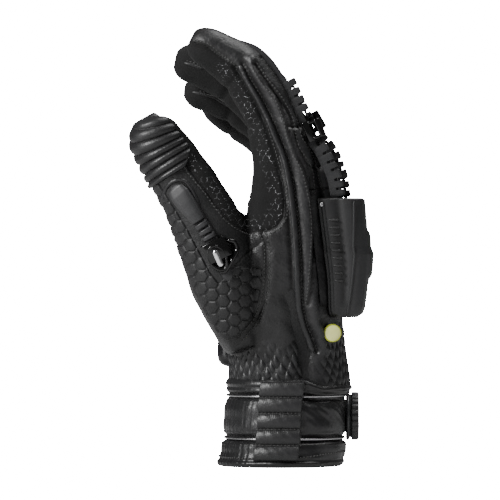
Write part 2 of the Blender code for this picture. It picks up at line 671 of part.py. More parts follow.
def make_dial():
    """The closure dial: a base moulded to the cuff, its spindle, and the knob on it."""
    centre = np.array([0.0, 0.0, DIAL_CENTRE_HEIGHT])
    radius = DIAL_DIAMETER / 2
    seat = float(cuff_back(0.0, DIAL_CENTRE_HEIGHT, PANEL_GAP))
    face = seat + DIAL_BASE_HEIGHT
    spindle = DIAL_SPINDLE_DIAMETER / 2
    base = disc_stack(
        "dial_base", centre, (1, 0, 0),
        [
            (0, seat), (radius * 0.6, seat), (radius, seat), (radius, face),
            (spindle, face), (spindle, face + DIAL_SPINDLE_HEIGHT), (0, face + DIAL_SPINDLE_HEIGHT),
        ],
        DIAL_BASE_SIDES, "moulding",
    )
    for vertex in base.data.vertices[1:2 * DIAL_BASE_SIDES + 1]:
        vertex.co.x = float(cuff_back(vertex.co.y, vertex.co.z, PANEL_GAP))
    under = face + RUNNING_GAP
    recess = spindle + RUNNING_GAP
    top = under + DIAL_HEIGHT
    floor = face + DIAL_SPINDLE_HEIGHT + RUNNING_GAP
    rim = np.where(np.arange(2 * DIAL_RIM_RIBS) % 2, 1 - DIAL_RIB_DEPTH / radius, 1.0)
    disc_stack(
        "dial_knob", centre, (1, 0, 0),
        [
            (0, floor), (recess, floor), (recess, under), (radius, under),
            (radius, top - DIAL_CHAMFER), (radius - DIAL_CHAMFER, top), (0, top),
        ],
        2 * DIAL_RIM_RIBS, "moulding", rim,
    )


def make_back_pad():
    """The padded panel over the back, its lower edge higher at the sides."""
    columns = np.arange(-4, 5) % HAND_SIDES
    turn = np.linspace(-1, 1, len(columns))
    low = BACK_PAD["low"] + BACK_PAD["low_sides"] * turn**2
    high = BACK_PAD["high"] + BACK_PAD["high_sides"] * turn**2
    at = CUFF_HEIGHT + (low + np.linspace(0, 1, 8)[:, None] * (high - low)) * HAND_LENGTH
    base = hand_rings(HAND_HEIGHTS, PANEL_GAP)[:, columns]
    thick = hand_rings(HAND_HEIGHTS, PANEL_GAP + BACK_PAD_THICKNESS)[:, columns]
    inner = along_facets(base, HAND_HEIGHTS, at)
    outer = along_facets(thick, HAND_HEIGHTS, at)
    edge = np.full(outer.shape[:2], 1.0)
    edge[[0, -1]] = BACK_PAD["edge"]
    edge[:, [0, -1]] = BACK_PAD["edge"]
    slab("back_pad", inner + (outer - inner) * edge[..., None], inner, "leather")


def make_pod():
    """The moulded pod over the knuckles: a thick cap, open towards the fingers."""
    along = np.array(POD["along"])[:, None]
    across, crown = np.array(POD_ACROSS)[None, :], np.array(POD_CROWN)[None, :]
    height = POD_FOOT + along * (POD_MOUTH - POD_FOOT)
    half = np.array(POD["breadth"])[:, None] * POD_BREADTH / 2
    rise = np.array(POD["rise"])[:, None] * POD_HEIGHT
    proud = 2 * PANEL_GAP + BACK_PAD_THICKNESS
    top = hand_side(0.0, height, 1, proud) + rise

    def skin(inset, start):
        foot = hand_side(half - inset, height, 1, proud)
        x = foot + (top - inset - foot) * crown
        z = POD_FOOT + start + along * (POD_MOUTH - POD_FOOT - start)
        return np.stack([x, across * (half - inset), np.broadcast_to(z, x.shape)], axis=-1)

    slab("knuckle_pod", skin(0.0, 0.0), skin(POD_WALL, POD_WALL), "moulding")


def spine_start(name):
    """Where a finger's spine begins inside the pod's mouth, a share of its length."""
    return (POD_MOUTH - SPINE_TUCK - ROOT_HEIGHT) / FINGERS[name]["length"]


def back_path(name, s):
    """The line that a finger's spine follows: the finger's crown, carried down over
    the pad below its root. s is a share of the finger's length, negative there."""
    s = np.asarray(s, float)
    middle, dorsal, _, depth, _ = finger_line(name, np.maximum(s, 0))
    crown = middle + dorsal * depth[:, None]
    y0 = finger_cell(name)[0]
    below = np.minimum(s, 0)
    height = ROOT_HEIGHT + below * FINGERS[name]["length"]
    y = y0 * (1 - SPINE_CONVERGE * below / spine_start(name))
    edges = [y - SPINE_WIDTH / 2, y, y + SPINE_WIDTH / 2]
    highest = np.max([hand_side(e, height) for e in edges], axis=0)
    over_pad = highest + BACK_PAD_THICKNESS + 2 * PANEL_GAP
    first, last = SPINE_SETTLES
    fade = np.clip((s - first) / (last - first), 0, 1)
    fade = fade * fade * (3 - 2 * fade)
    plain = np.where(s < 0, highest + SEAM_GAP, crown[:, 0])
    lift = SEAM_GAP * (s >= 0) + (over_pad - plain) * (1 - fade)
    path = np.stack([plain + lift, y, height], axis=-1)
    path = np.where((s < 0)[:, None], path, crown + dorsal * lift[:, None])
    run = np.gradient(path, axis=0)
    run /= np.linalg.norm(run, axis=1, keepdims=True)
    out = np.cross(ACROSS, run)
    return path, out / np.linalg.norm(out, axis=1, keepdims=True), run


def comb(length, keeper, teeth_end):
    """Rows of a toothed strip as (distance, height, width share): a tooth and a slot
    each pitch, the plain strip under the keeper, and a tongue past the last tooth."""
    rows = []
    step = 0.0001
    for k in range(int(teeth_end / TOOTH_PITCH)):
        start = k * TOOTH_PITCH
        stop = start + TOOTH_PITCH - TOOTH_GAP
        clear = KEEPER_LENGTH / 2 + TOOTH_GAP
        if keeper - clear < stop and start < keeper + clear:
            rows += [(start, SPINE_STRIP, 1.0), ((start + stop) / 2, SPINE_STRIP, 1.0)]
            continue
        rows += [(start, SPINE_STRIP, 1.0), (start + step, SPINE_HEIGHT, 1.0)]
        rows += [(stop - step, SPINE_HEIGHT, 1.0), (stop, SPINE_STRIP, 1.0)]
    last = rows[-1][0]
    for share in TONGUE["along"]:
        height = SPINE_STRIP * (1 - (1 - TONGUE["height"]) * share**3)
        width = 1 - (1 - TONGUE["width"]) * share**3
        rows.append((last + share * (length - last), height, width))
    return np.array(rows).T


def make_spine(name):
    """A toothed spine from inside the pod's mouth to the middle of the finger."""
    finger = FINGERS[name]
    fine = np.linspace(spine_start(name), finger["teeth"] + TONGUE["length"], 161)
    line, out, _ = back_path(name, fine)
    gone = np.concatenate([[0], np.cumsum(np.linalg.norm(np.diff(line, axis=0), axis=1))])
    keeper = np.interp(finger["keeper"], fine, gone)
    teeth_end = np.interp(finger["teeth"], fine, gone)
    at, height, width = comb(gone[-1], keeper, teeth_end)
    middle = np.stack([np.interp(at, gone, line[:, k]) for k in range(3)], axis=-1)
    away = np.stack([np.interp(at, gone, out[:, k]) for k in range(3)], axis=-1)
    reach = (width * SPINE_WIDTH / 2)[:, None] * ACROSS
    top = middle + away * height[:, None]
    rings = np.stack([middle - reach, middle + reach, top + reach * 0.9, top - reach * 0.9], axis=1)
    closed_loft(f"{name}_spine", rings, "moulding")
    middle, out, run = back_path(name, finger["keeper"] + np.array([-0.01, 0.0, 0.01]))
    _, _, _, depth, breadth = finger_line(name, np.array([finger["keeper"]]))
    room = SPINE_WIDTH / 2 + KEEPER_CLEARANCE
    power = ROOT_POWER["plain"]
    drop = depth[0] * (1 - (1 - (room / breadth[0]) ** power) ** (1 / power))
    height = SPINE_HEIGHT + KEEPER_HEADROOM + 1.5 * KEEPER_WALL + drop
    foot = middle[1] - out[1] * (drop - SEAM_GAP)
    bridge(f"{name}_keeper", foot, run[1], out[1], KEEPER_LENGTH, room, height)


def bridge(name, middle, run, out, length, room, height):
    """A loop over a spine: a square arch with its two feet on the leather, room to
    either side of its middle."""
    across = np.cross(run, out)
    wall = KEEPER_WALL
    half = room + wall
    outline = (
        (-half, 0), (-half, height * 0.75), (-half * 0.75, height), (half * 0.75, height),
        (half, height * 0.75), (half, 0), (half - wall, 0), (half - wall, height - wall * 1.5),
        (wall - half, height - wall * 1.5), (wall - half, 0),
    )
    section = np.array([middle + across * a + out * b for a, b in outline])
    closed_loft(name, np.array([section - run * length / 2, section + run * length / 2]), "gloss")


def thumb_patch(name, columns, rows, proud, material):
    """A panel on the thumb's leather over some of its sides."""
    columns = np.asarray(columns)
    base = thumb_rings(THUMB_SHARES, PANEL_GAP)[:, columns]
    unit = thumb_rings(THUMB_SHARES, PANEL_GAP + PROBE)[:, columns]
    inner = along_facets(base, THUMB_SHARES, rows)
    out = (along_facets(unit, THUMB_SHARES, rows) - inner) / PROBE
    slab(name, inner + out * np.asarray(proud)[..., None], inner, material)


def make_thumb_pads():
    """The ribbed pad round the thumb's tip and the plain pad on its base."""
    columns = np.array(RIB_PAD["sides"])
    around = (columns - columns[0]) / (columns[-1] - columns[0])
    low = RIB_PAD["low"] + RIB_PAD["slope"] * around**2
    t = np.linspace(0, 1, 2 * RIB_PAD_RIBS + 5)[:, None]
    rows = low + t * (RIB_PAD["high"] - low)
    wave = np.abs(np.sin(t * RIB_PAD_RIBS * math.pi))
    proud = np.broadcast_to(RIB_PAD_BODY + RIB_PAD_RIB * wave, rows.shape)
    thumb_patch("thumb_rib_pad", columns, rows, proud, "leather")
    rows = [s for s in THUMB_SHARES if THENAR_PAD["low"] < s < THENAR_PAD["high"]]
    rows = [THENAR_PAD["low"], *rows, THENAR_PAD["high"]]
    proud = np.full((len(rows), len(THENAR_PAD["sides"])), THENAR_PAD_THICKNESS)
    proud[[0, -1]] *= PATCH_EDGE
    thumb_patch("thenar_pad", THENAR_PAD["sides"], rows, proud, "leather")


def make_thumb_spine():
    """The thumb's short spine, notched three times, and the loop over it."""
    t = np.linspace(0, 1, 41)
    share = np.linspace(*THUMB_SPINE_ENDS["share"], len(t))
    turn = np.radians(np.linspace(*THUMB_SPINE_ENDS["turn"], len(t)))

    def surface(grow):
        middle, inward, _, depth, breadth = thumb_line(share)
        dorsal, across = squared(turn, THUMB_POWER)
        side = (across * (breadth + grow))[:, None] * ACROSS
        return middle + (dorsal * (depth + grow))[:, None] * inward + side

    line = surface(PANEL_GAP + SEAM_GAP)
    out = surface(PANEL_GAP + PROBE) - surface(PANEL_GAP)
    run = np.gradient(line, axis=0)
    run /= np.linalg.norm(run, axis=1, keepdims=True)
    out -= run * np.sum(out * run, axis=1, keepdims=True)
    out /= np.linalg.norm(out, axis=1, keepdims=True)
    across = np.cross(run, out)

    def pick(values):
        return np.stack([np.interp(THUMB_SPINE["along"], t, values[:, k]) for k in range(3)], axis=-1)

    middle, away, side = pick(line), pick(out), pick(across)
    reach = side * (np.array(THUMB_SPINE["wide"]) * THUMB_SPINE_WIDTH / 2)[:, None]
    top = middle + away * (np.array(THUMB_SPINE["rise"]) * THUMB_SPINE_HEIGHT)[:, None]
    rings = np.stack([middle - reach, middle + reach, top + reach * 0.85, top - reach * 0.85], axis=1)
    closed_loft("thumb_spine", rings, "moulding")
    i = int(np.argmin(np.abs(share - THUMB_KEEPER_SHARE)))
    room = THUMB_SPINE_WIDTH / 2 + KEEPER_CLEARANCE
    drop = (room + KEEPER_WALL) ** 2 / THUMB_DEPTH
    height = THUMB_SPINE_HEIGHT + THUMB_KEEPER_HEADROOM + 1.5 * KEEPER_WALL + drop
    foot = line[i] - out[i] * (drop - SEAM_GAP)
    bridge("thumb_keeper", foot, run[i], out[i], THUMB_KEEPER_LENGTH, room, height)


def hand_patch(name, where, proud, material):
    """A panel on the hand's leather over some of its sides."""
    columns = np.array(where["sides"])
    heights = [CUFF_HEIGHT + share * HAND_LENGTH for share in where["height"]]
    own = [h for h in HAND_HEIGHTS if heights[0] < h < heights[-1]]
    rows = np.array(sorted([*heights, *own]))
    base = hand_rings(HAND_HEIGHTS, SEAM_GAP)[:, columns]
    unit = hand_rings(HAND_HEIGHTS, SEAM_GAP + PROBE)[:, columns]
    inner = along_facets(base, HAND_HEIGHTS, rows)
    out = (along_facets(unit, HAND_HEIGHTS, rows) - inner) / PROBE
    thick = np.full(inner.shape[:2], proud)
    thick[[0, -1]] *= PATCH_EDGE
    thick[:, [0, -1]] *= PATCH_EDGE
    slab(name, inner + out * thick[..., None], inner, material)


def make_button():
    """The round button on the thumb side, square to the leather."""
    height = CUFF_HEIGHT + BUTTON_PLACE["height"] * HAND_LENGTH
    turn = math.radians(BUTTON_PLACE["turn"])
    here = hand_skin(height, np.array([turn]), PANEL_GAP)[0]
    around = hand_skin(height, np.array([turn - TURN_PROBE, turn + TURN_PROBE]))
    above = hand_skin(np.array([height - PROBE, height + PROBE]), np.full(2, turn))
    normal = np.cross(around[1] - around[0], above[1] - above[0])
    radius, top = BUTTON_DIAMETER / 2, BUTTON_THICKNESS
    rings = [(0, 0), (radius, 0), (radius, top * 0.6), (radius * 0.85, top), (0, top)]
    disc_stack("wrist_button", here, normal, rings, 20, "button")


def build():
    clear_scene()
    make_hand()
    make_thumb()
    make_cuff()
    make_rib_panel()
    make_dial()
    make_back_pad()
    make_pod()
    make_thumb_pads()
    make_thumb_spine()
    make_button()
    for name in LACE_CHANNELS:
        make_lace(name)
    for name in FINGERS:
        make_finger(name)
        make_spine(name)
    hand_patch("palm_patch", PALM_PATCH, PALM_PATCH_THICKNESS, "suede")
    hand_patch("palm_slider", PALM_SLIDER, SLIDER_THICKNESS, "gloss")


build()
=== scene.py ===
"""A right-hand armoured leather motorcycle glove: its leather, suede, moulded armour,
padded cuff and closure dial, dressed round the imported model. Metres throughout."""

import math

import bmesh
import bpy
import numpy as np
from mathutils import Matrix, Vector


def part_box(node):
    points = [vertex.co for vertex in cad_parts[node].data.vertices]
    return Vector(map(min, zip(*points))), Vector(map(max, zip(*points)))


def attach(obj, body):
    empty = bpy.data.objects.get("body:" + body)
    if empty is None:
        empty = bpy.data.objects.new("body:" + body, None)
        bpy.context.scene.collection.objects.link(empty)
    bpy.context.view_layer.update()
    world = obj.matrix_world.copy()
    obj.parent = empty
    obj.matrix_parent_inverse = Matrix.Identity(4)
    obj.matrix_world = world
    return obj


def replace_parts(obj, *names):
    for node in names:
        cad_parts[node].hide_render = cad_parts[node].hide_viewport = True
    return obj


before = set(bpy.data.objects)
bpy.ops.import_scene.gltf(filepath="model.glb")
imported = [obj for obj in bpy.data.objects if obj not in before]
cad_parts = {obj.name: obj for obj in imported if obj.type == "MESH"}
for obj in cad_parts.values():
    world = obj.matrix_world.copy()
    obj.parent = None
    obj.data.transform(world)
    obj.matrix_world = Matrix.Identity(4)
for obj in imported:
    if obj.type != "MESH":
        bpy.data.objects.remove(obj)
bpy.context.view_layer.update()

# The studio: a white floor and wall that only the camera sees as white, three soft lamps,
# and a camera square to the thumb side of the glove, as the photograph was taken.
PIXEL = 0.00056
PICTURE_MIDDLE = 250
HEM_ROW = 465
ORIGIN_COLUMN = 284
CAMERA_DISTANCE = 3.0
SENSOR = 36.0
ROOM_LIGHT = 0.10
WALL_WHITE = 40.0
look_x = (PICTURE_MIDDLE - ORIGIN_COLUMN) * PIXEL
look_z = (HEM_ROW - PICTURE_MIDDLE) * PIXEL

lens = bpy.data.cameras.new("camera")
lens.sensor_width = SENSOR
lens.lens = SENSOR * CAMERA_DISTANCE / (2 * PICTURE_MIDDLE * PIXEL)
lens.clip_end = 50
camera = bpy.data.objects.new("camera", lens)
camera.location = (look_x, -CAMERA_DISTANCE, look_z)
camera.rotation_euler = (math.radians(90), 0, 0)
bpy.context.scene.collection.objects.link(camera)
bpy.context.scene.camera = camera

world = bpy.data.worlds.new("studio")
bpy.context.scene.world = world
world.use_nodes = True
sky = world.node_tree
room = sky.nodes["Background"]
room.inputs["Color"].default_value = (1.0, 1.0, 1.0, 1.0)
room.inputs["Strength"].default_value = ROOM_LIGHT
wall = sky.nodes.new("ShaderNodeBackground")
wall.inputs["Strength"].default_value = WALL_WHITE
straight = sky.nodes.new("ShaderNodeLightPath")
backdrop = sky.nodes.new("ShaderNodeMixShader")
for source, socket in (
    (straight.outputs["Is Camera Ray"], backdrop.inputs[0]),
    (room.outputs[0], backdrop.inputs[1]),
    (wall.outputs[0], backdrop.inputs[2]),
    (backdrop.outputs[0], sky.nodes["World Output"].inputs["Surface"]),
):
    sky.links.new(source, socket)

for name, place, aim, size, power in (
    ("key_light", (-1.15, -1.0, 1.0), (-0.02, 0.0, 0.14), 0.45, 39.0),
    ("side_light", (-1.1, -0.7, 0.25), (-0.02, 0.0, 0.12), 0.4, 2.5),
    ("top_light", (0.5, 0.1, 1.4), (0.0, 0.0, 0.14), 0.8, 16.0),
):
    lamp = bpy.data.lights.new(name, "AREA")
    lamp.size = size
    lamp.energy = power
    light = bpy.data.objects.new(name, lamp)
    away = np.array(place) - np.array(aim)
    light.location = place
    light.rotation_euler = (
        math.atan2(math.hypot(away[0], away[1]), away[2]), 0, math.atan2(away[0], -away[1])
    )
    bpy.context.scene.collection.objects.link(light)

floor_mesh = bpy.data.meshes.new("floor")
floor_mesh.from_pydata([(-9, -9, 0), (9, -9, 0), (9, 9, 0), (-9, 9, 0)], [], [(0, 1, 2, 3)])
floor = bpy.data.objects.new("floor", floor_mesh)
floor.location.z = -0.0003
bpy.context.scene.collection.objects.link(floor)
floor_paint = bpy.data.materials.new("floor_paint")
floor_paint.use_nodes = True
paint = floor_paint.node_tree
ground = paint.nodes["Principled BSDF"].inputs
ground["Base Color"].default_value = (0.6, 0.6, 0.6, 1)
ground["Roughness"].default_value = 0.9
ground["Emission Color"].default_value = (1, 1, 1, 1)
floor_seen = paint.nodes.new("ShaderNodeLightPath")
floor_glow = paint.nodes.new("ShaderNodeMath")
floor_glow.operation = "MULTIPLY"
floor_glow.inputs[1].default_value = WALL_WHITE
paint.links.new(floor_seen.outputs["Is Camera Ray"], floor_glow.inputs[0])
paint.links.new(floor_glow.outputs[0], ground["Emission Strength"])
floor_mesh.materials.append(floor_paint)


# The leather's body: goat leather cut in panels and sewn over the hand, with short
# curved finger stalls and a thumb. One skin is worked out from cross-sections, joined
# where the stalls and the thumb meet the hand, and lined inside.
HAND_LENGTH = 0.1167
HAND_BREADTH = 0.104
HAND_DEPTH = 0.068
CUFF_HEIGHT = 0.0487
ROOT_HEIGHT = CUFF_HEIGHT + HAND_LENGTH
FINGER_DEPTH = 0.0290
FINGER_TIP = 0.0110
THUMB_REACH = 0.130
THUMB_DEPTH = 0.0400
THUMB_BREADTH = 0.0440
THUMB_TIP = 0.0120
LEATHER = 0.0022
HAND = {
    "height":  (0.0000, 0.1580, 0.2790, 0.4710, 0.6620, 0.8540, 1.0000),
    "middle":  (0.0440, 0.0060, -0.020, -0.030, -0.050, -0.055, -0.050),
    "depth":   (0.4900, 0.4680, 0.4500, 0.4050, 0.3620, 0.3200, 0.2850),
    "breadth": (0.3950, 0.4200, 0.4500, 0.4900, 0.5050, 0.5050, 0.4950),
    "arch":    (0.0000, 0.0200, 0.0500, 0.0850, 0.1150, 0.1250, 0.1250),
    "square":  (2.3000, 2.4000, 2.6000, 3.0000, 3.4000, 3.8000, 4.0000),
}
HAND_DENTS = {
    "turn":   (-68.0, 180.0, -112.0, -136.0, 40.0, 112.0),
    "width":  (9.0, 34.0, 8.0, 8.0, 9.0, 10.0),
    "height": (0.137, 0.628, 0.095, 0.130, 0.105, 0.116),
    "reach":  (0.125, 0.251, 0.063, 0.063, 0.063, 0.084),
    "depth":  (0.040, 0.045, 0.022, 0.020, 0.022, 0.025),
}
FINGERS = {
    "index": {
        "length": 0.0950, "cell": (0.000, 0.262), "splay": -0.010, "keeper": 0.165, "teeth": 0.50,
        "lean":    (12.0, 17.0, 23.0, 31.0, 45.0, 57.0, 62.0, 63.0),
        "depth":   (1.20, 1.08, 0.97, 0.98, 0.97, 0.86, 0.76, 0.72),
        "breadth": (1.00, 0.99, 0.96, 0.96, 0.93, 0.87, 0.82, 0.80),
    },
    "middle": {
        "length": 0.0970, "cell": (0.262, 0.520), "splay": 0.000, "keeper": 0.190, "teeth": 0.54,
        "lean":    (14.0, 24.0, 36.0, 48.0, 58.0, 66.0, 72.0, 76.0),
        "depth":   (1.20, 1.04, 0.94, 0.93, 0.90, 0.82, 0.75, 0.72),
        "breadth": (1.00, 0.97, 0.93, 0.93, 0.90, 0.86, 0.82, 0.80),
    },
    "ring": {
        "length": 0.0820, "cell": (0.520, 0.770), "splay": 0.010, "keeper": 0.200, "teeth": 0.54,
        "lean":    (9.0, 31.0, 46.0, 56.0, 64.0, 72.0, 78.0, 82.0),
        "depth":   (1.18, 0.97, 0.86, 0.84, 0.80, 0.74, 0.67, 0.63),
        "breadth": (1.00, 0.97, 0.93, 0.92, 0.90, 0.86, 0.82, 0.80),
    },
    "little": {
        "length": 0.0640, "cell": (0.770, 1.000), "splay": 0.030, "keeper": 0.250, "teeth": 0.58,
        "lean":    (9.0, 34.0, 52.0, 57.0, 56.0, 54.0, 53.0, 52.0),
        "depth":   (1.00, 0.80, 0.74, 0.72, 0.70, 0.68, 0.64, 0.60),
        "breadth": (1.00, 0.97, 0.93, 0.91, 0.88, 0.85, 0.82, 0.80),
    },
}
FINGER_STATIONS = (0.00, 0.18, 0.35, 0.50, 0.62, 0.75, 0.88, 1.00)
THUMB = {
    "share":   (0.000, 0.125, 0.250, 0.375, 0.500, 0.625, 0.750, 0.875, 1.000),
    "up":      (0.130, 0.262, 0.394, 0.524, 0.652, 0.776, 0.893, 1.005, 1.112),
    "out":     (0.190, 0.237, 0.275, 0.307, 0.350, 0.412, 0.482, 0.553, 0.613),
    "near":    (0.230, 0.290, 0.335, 0.370, 0.400, 0.425, 0.440, 0.450, 0.455),
    "depth":   (0.520, 0.740, 0.930, 1.000, 0.970, 0.890, 0.820, 0.730, 0.610),
    "breadth": (0.900, 1.060, 1.060, 0.980, 0.870, 0.790, 0.730, 0.680, 0.640),
}
ACROSS = np.array([0.0, 1.0, 0.0])


def eased(known, values, at):
    """A smooth curve through a table's column: cubic Hermite with mean slopes."""
    known, values = np.asarray(known, float), np.asarray(values, float)
    slopes = np.gradient(values, known)
    at = np.clip(np.asarray(at, float), known[0], known[-1])
    i = np.clip(np.searchsorted(known, at) - 1, 0, len(known) - 2)
    span = known[i + 1] - known[i]
    t = (at - known[i]) / span
    return (
        values[i] * (1 + 2 * t) * (1 - t) ** 2
        + slopes[i] * span * t * (1 - t) ** 2
        + values[i + 1] * t * t * (3 - 2 * t)
        + slopes[i + 1] * span * t * t * (t - 1)
    )


def soft(low, high, at):
    """0 below low, 1 above high, and 3t^2 - 2t^3 between."""
    t = np.clip((at - low) / (high - low), 0, 1)
    return t * t * (3 - 2 * t)


def bell(off, width, power=2):
    """1 at no distance, falling off as e to the minus (distance / width) to a power."""
    return np.exp(-((off / width) ** power))


def unit(vectors):
    """Vectors made one long."""
    return vectors / np.maximum(np.linalg.norm(vectors, axis=-1, keepdims=True), 1e-9)


def round_turns(count):
    """Even turns once round a ring."""
    return np.arange(count) * 2 * math.pi / count


def length_along(points):
    """The length of a path up to each of its points."""
    return np.concatenate([[0], np.cumsum(np.linalg.norm(np.diff(points, axis=0), axis=1))])


def read_along(points, gone, at):
    """A path's points at given lengths along it."""
    return np.stack([np.interp(at, gone, points[:, k]) for k in range(3)], axis=-1)


def squared(turn, power):
    """(dorsal, across) unit offsets of a superellipse in a given direction."""
    c, s = np.cos(turn), np.sin(turn)
    reach = (np.abs(c) ** power + np.abs(s) ** power) ** (-1 / power)
    return c * reach, s * reach


def hand_at(height):
    """(middle, half depth, half breadth, arch, power) of the hand at a height."""
    share = (np.asarray(height, float) - CUFF_HEIGHT) / HAND_LENGTH
    scale = {"middle": HAND_DEPTH, "depth": HAND_DEPTH, "breadth": HAND_BREADTH, "arch": HAND_DEPTH}
    return tuple(
        eased(HAND["height"], HAND[part], share) * scale.get(part, 1.0)
        for part in ("middle", "depth", "breadth", "arch", "square")
    )


def hand_skin(height, turn, grow=0.0):
    """The hand: a superellipse whose middle line is arched back, less its dents, each
    a bell in turn and height."""
    share = (np.asarray(height, float) - CUFF_HEIGHT) / HAND_LENGTH
    middle, depth, breadth, arch, power = hand_at(height)
    sunk = 0.0
    for at_turn, width, at_height, reach, deep in zip(*HAND_DENTS.values()):
        off = (np.degrees(turn) - at_turn + 180) % 360 - 180
        sunk = sunk + deep * HAND_DEPTH * bell(off, width) * bell(share - at_height, reach)
    dorsal, across = squared(turn, power)
    y = across * (breadth + grow - sunk)
    x = middle + dorsal * (depth + grow - sunk) + arch * (1 - np.minimum((y / breadth) ** 2, 1.2))
    return np.stack([x, y, np.broadcast_to(height, x.shape)], axis=-1)


def hand_side(y, height, side=1):
    """x of the hand's back (side 1) or palm (side -1) at a place across it."""
    middle, depth, breadth, arch, power = hand_at(height)
    fall = np.clip(1 - np.abs(y / breadth) ** power, 0, 1) ** (1 / power)
    return middle + side * depth * fall + arch * (1 - (y / breadth) ** 2)


def finger_line(name, share):
    """Points, dorsal and forward directions and half sizes along a finger, which
    leans further from upright the further along it is."""
    finger = FINGERS[name]
    share = np.asarray(share, float)
    fine = np.linspace(0, 1, 241)
    lean = np.radians(eased(FINGER_STATIONS, finger["lean"], fine))
    step = finger["length"] / (len(fine) - 1)
    run = np.concatenate([[0], np.cumsum((np.sin(lean[1:]) + np.sin(lean[:-1])) / 2)]) * step
    rise = np.concatenate([[0], np.cumsum((np.cos(lean[1:]) + np.cos(lean[:-1])) / 2)]) * step
    root_breadth = 2 * HAND["breadth"][-1] * HAND_BREADTH
    y = (sum(finger["cell"]) / 2 - 0.5) * root_breadth
    half_width = (finger["cell"][1] - finger["cell"][0]) * root_breadth / 2
    back, palm = (float(hand_side(y, ROOT_HEIGHT, side)) for side in (1, -1))
    x = (back + palm) / 2 - np.interp(share, fine, run)
    z = ROOT_HEIGHT + np.interp(share, fine, rise)
    y = y + finger["splay"] * HAND_BREADTH * share**2
    angle = np.interp(share, fine, lean) * np.clip(share / 0.06, 0, 1)
    nought = np.zeros_like(angle)
    dorsal = np.stack([np.cos(angle), nought, np.sin(angle)], axis=-1)
    forward = np.stack([-np.sin(angle), nought, np.cos(angle)], axis=-1)
    blend = np.clip(share / 0.12, 0, 1)
    depth = eased(FINGER_STATIONS, finger["depth"], share) * FINGER_DEPTH / 2
    depth = (back - palm) / 2 * (1 - blend) + depth * blend
    breadth = eased(FINGER_STATIONS, finger["breadth"], share) * half_width
    return np.stack([x, y, z], axis=-1), dorsal, forward, depth, breadth


def thumb_line(share):
    """Points, inward and forward directions and half sizes along the thumb."""
    share = np.asarray(share, float)

    def middle_at(s):
        """The thumb's middle line, each coordinate eased between its known values."""
        x = HAND["middle"][0] * HAND_DEPTH - eased(THUMB["share"], THUMB["out"], s) * THUMB_REACH
        y = -eased(THUMB["share"], THUMB["near"], s) * HAND_BREADTH
        z = CUFF_HEIGHT + eased(THUMB["share"], THUMB["up"], s) * THUMB_REACH
        return np.stack([x, y, z], axis=-1)

    run = middle_at(np.minimum(share + 0.01, 1)) - middle_at(np.maximum(share - 0.01, 0))
    angle = np.arctan2(-run[..., 0], run[..., 2])
    nought = np.zeros_like(angle)
    inward = np.stack([np.cos(angle), nought, np.sin(angle)], axis=-1)
    forward = np.stack([-np.sin(angle), nought, np.cos(angle)], axis=-1)
    depth = eased(THUMB["share"], THUMB["depth"], share) * THUMB_DEPTH / 2
    breadth = eased(THUMB["share"], THUMB["breadth"], share) * THUMB_BREADTH / 2
    return middle_at(share), inward, forward, depth, breadth


def stall(line, share, turn, length, tip, power, grow=0.0):
    """A stall's skin at shares (rows) and turns (columns): superellipses across its
    line, closing over the tip as a quarter ellipse."""
    middle, out, forward, depth, breadth = line
    share = np.asarray(share, float)
    into = np.clip((share * length - (length - tip)) / tip, 0, 1)
    closing = np.sqrt(np.clip(1 - into**2, 0, 1))[:, None]
    dorsal, across = squared(turn, power)
    up = (dorsal * (depth[:, None] + grow) * closing)[..., None] * out[:, None]
    side = (across * (breadth[:, None] + grow) * closing)[..., None] * ACROSS
    return (middle + forward * (into * grow)[:, None])[:, None] + up + side


def finger_skin(name, share, turn, grow=0.0):
    """A finger's skin, its root kept inside the hand's own outline."""
    share = np.asarray(share, float)
    power = (2.4 + 1.6 * np.exp(-share / 0.10))[:, None]
    skin = stall(finger_line(name, share), share, turn, FINGERS[name]["length"], FINGER_TIP, power, grow)
    held = bell(share, 0.07)[:, None]
    palm, back = (hand_side(skin[..., 1], ROOT_HEIGHT, side) for side in (-1, 1))
    kept = np.clip(skin[..., 0], palm, back)
    skin[..., 0] = skin[..., 0] * (1 - held) + kept * held
    return skin


def thumb_skin(share, turn, grow=0.0):
    """The thumb: a stall along its own line, its sections superellipses."""
    return stall(thumb_line(share), share, turn, THUMB_REACH, THUMB_TIP, 2.3, grow)


def grid_faces(rows, columns, closed):
    """Corner numbers of the quads of a grid, its columns closed into rings or not."""
    r, c = np.meshgrid(np.arange(rows - 1), np.arange(columns if closed else columns - 1), indexing="ij")
    a, b = r * columns + c, r * columns + (c + 1) % columns
    return np.stack([a, b, b + columns, a + columns], axis=-1).reshape(-1, 4)


def make_piece(name, points, faces, material=None, slot=None, body="glove"):
    """An object with its place in its mesh, smooth shaded, riding on its body."""
    mesh = bpy.data.meshes.new(name)
    mesh.from_pydata(np.asarray(points).tolist(), [], [list(f) for f in faces])
    mesh.shade_smooth()
    piece = bpy.data.objects.new(name, mesh)
    bpy.context.scene.collection.objects.link(piece)
    if material:
        mesh.materials.append(material)
        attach(piece, body)
    return piece


def capped(rings):
    """Points and faces of a loft of rings, closed by a fan at each end."""
    rows, sides = rings.shape[:2]
    points = np.concatenate([rings.reshape(-1, 3), [rings[0].mean(0)], [rings[-1].mean(0)]])
    count = rows * sides
    c = np.arange(sides)
    first = np.stack([(c + 1) % sides, c, np.full(sides, count)], axis=-1)
    last = (rows - 1) * sides + np.stack([c, (c + 1) % sides, np.zeros(sides, int)], axis=-1)
    last[:, 2] = count + 1
    return points, [*grid_faces(rows, sides, True).tolist(), *first.tolist(), *last.tolist()]


def baked(piece, name):
    """A new mesh of the piece with its modifiers applied. The piece is removed."""
    evaluated = piece.evaluated_get(bpy.context.evaluated_depsgraph_get())
    mesh = bpy.data.meshes.new_from_object(evaluated)
    mesh.name = name
    bpy.data.objects.remove(piece)
    return mesh


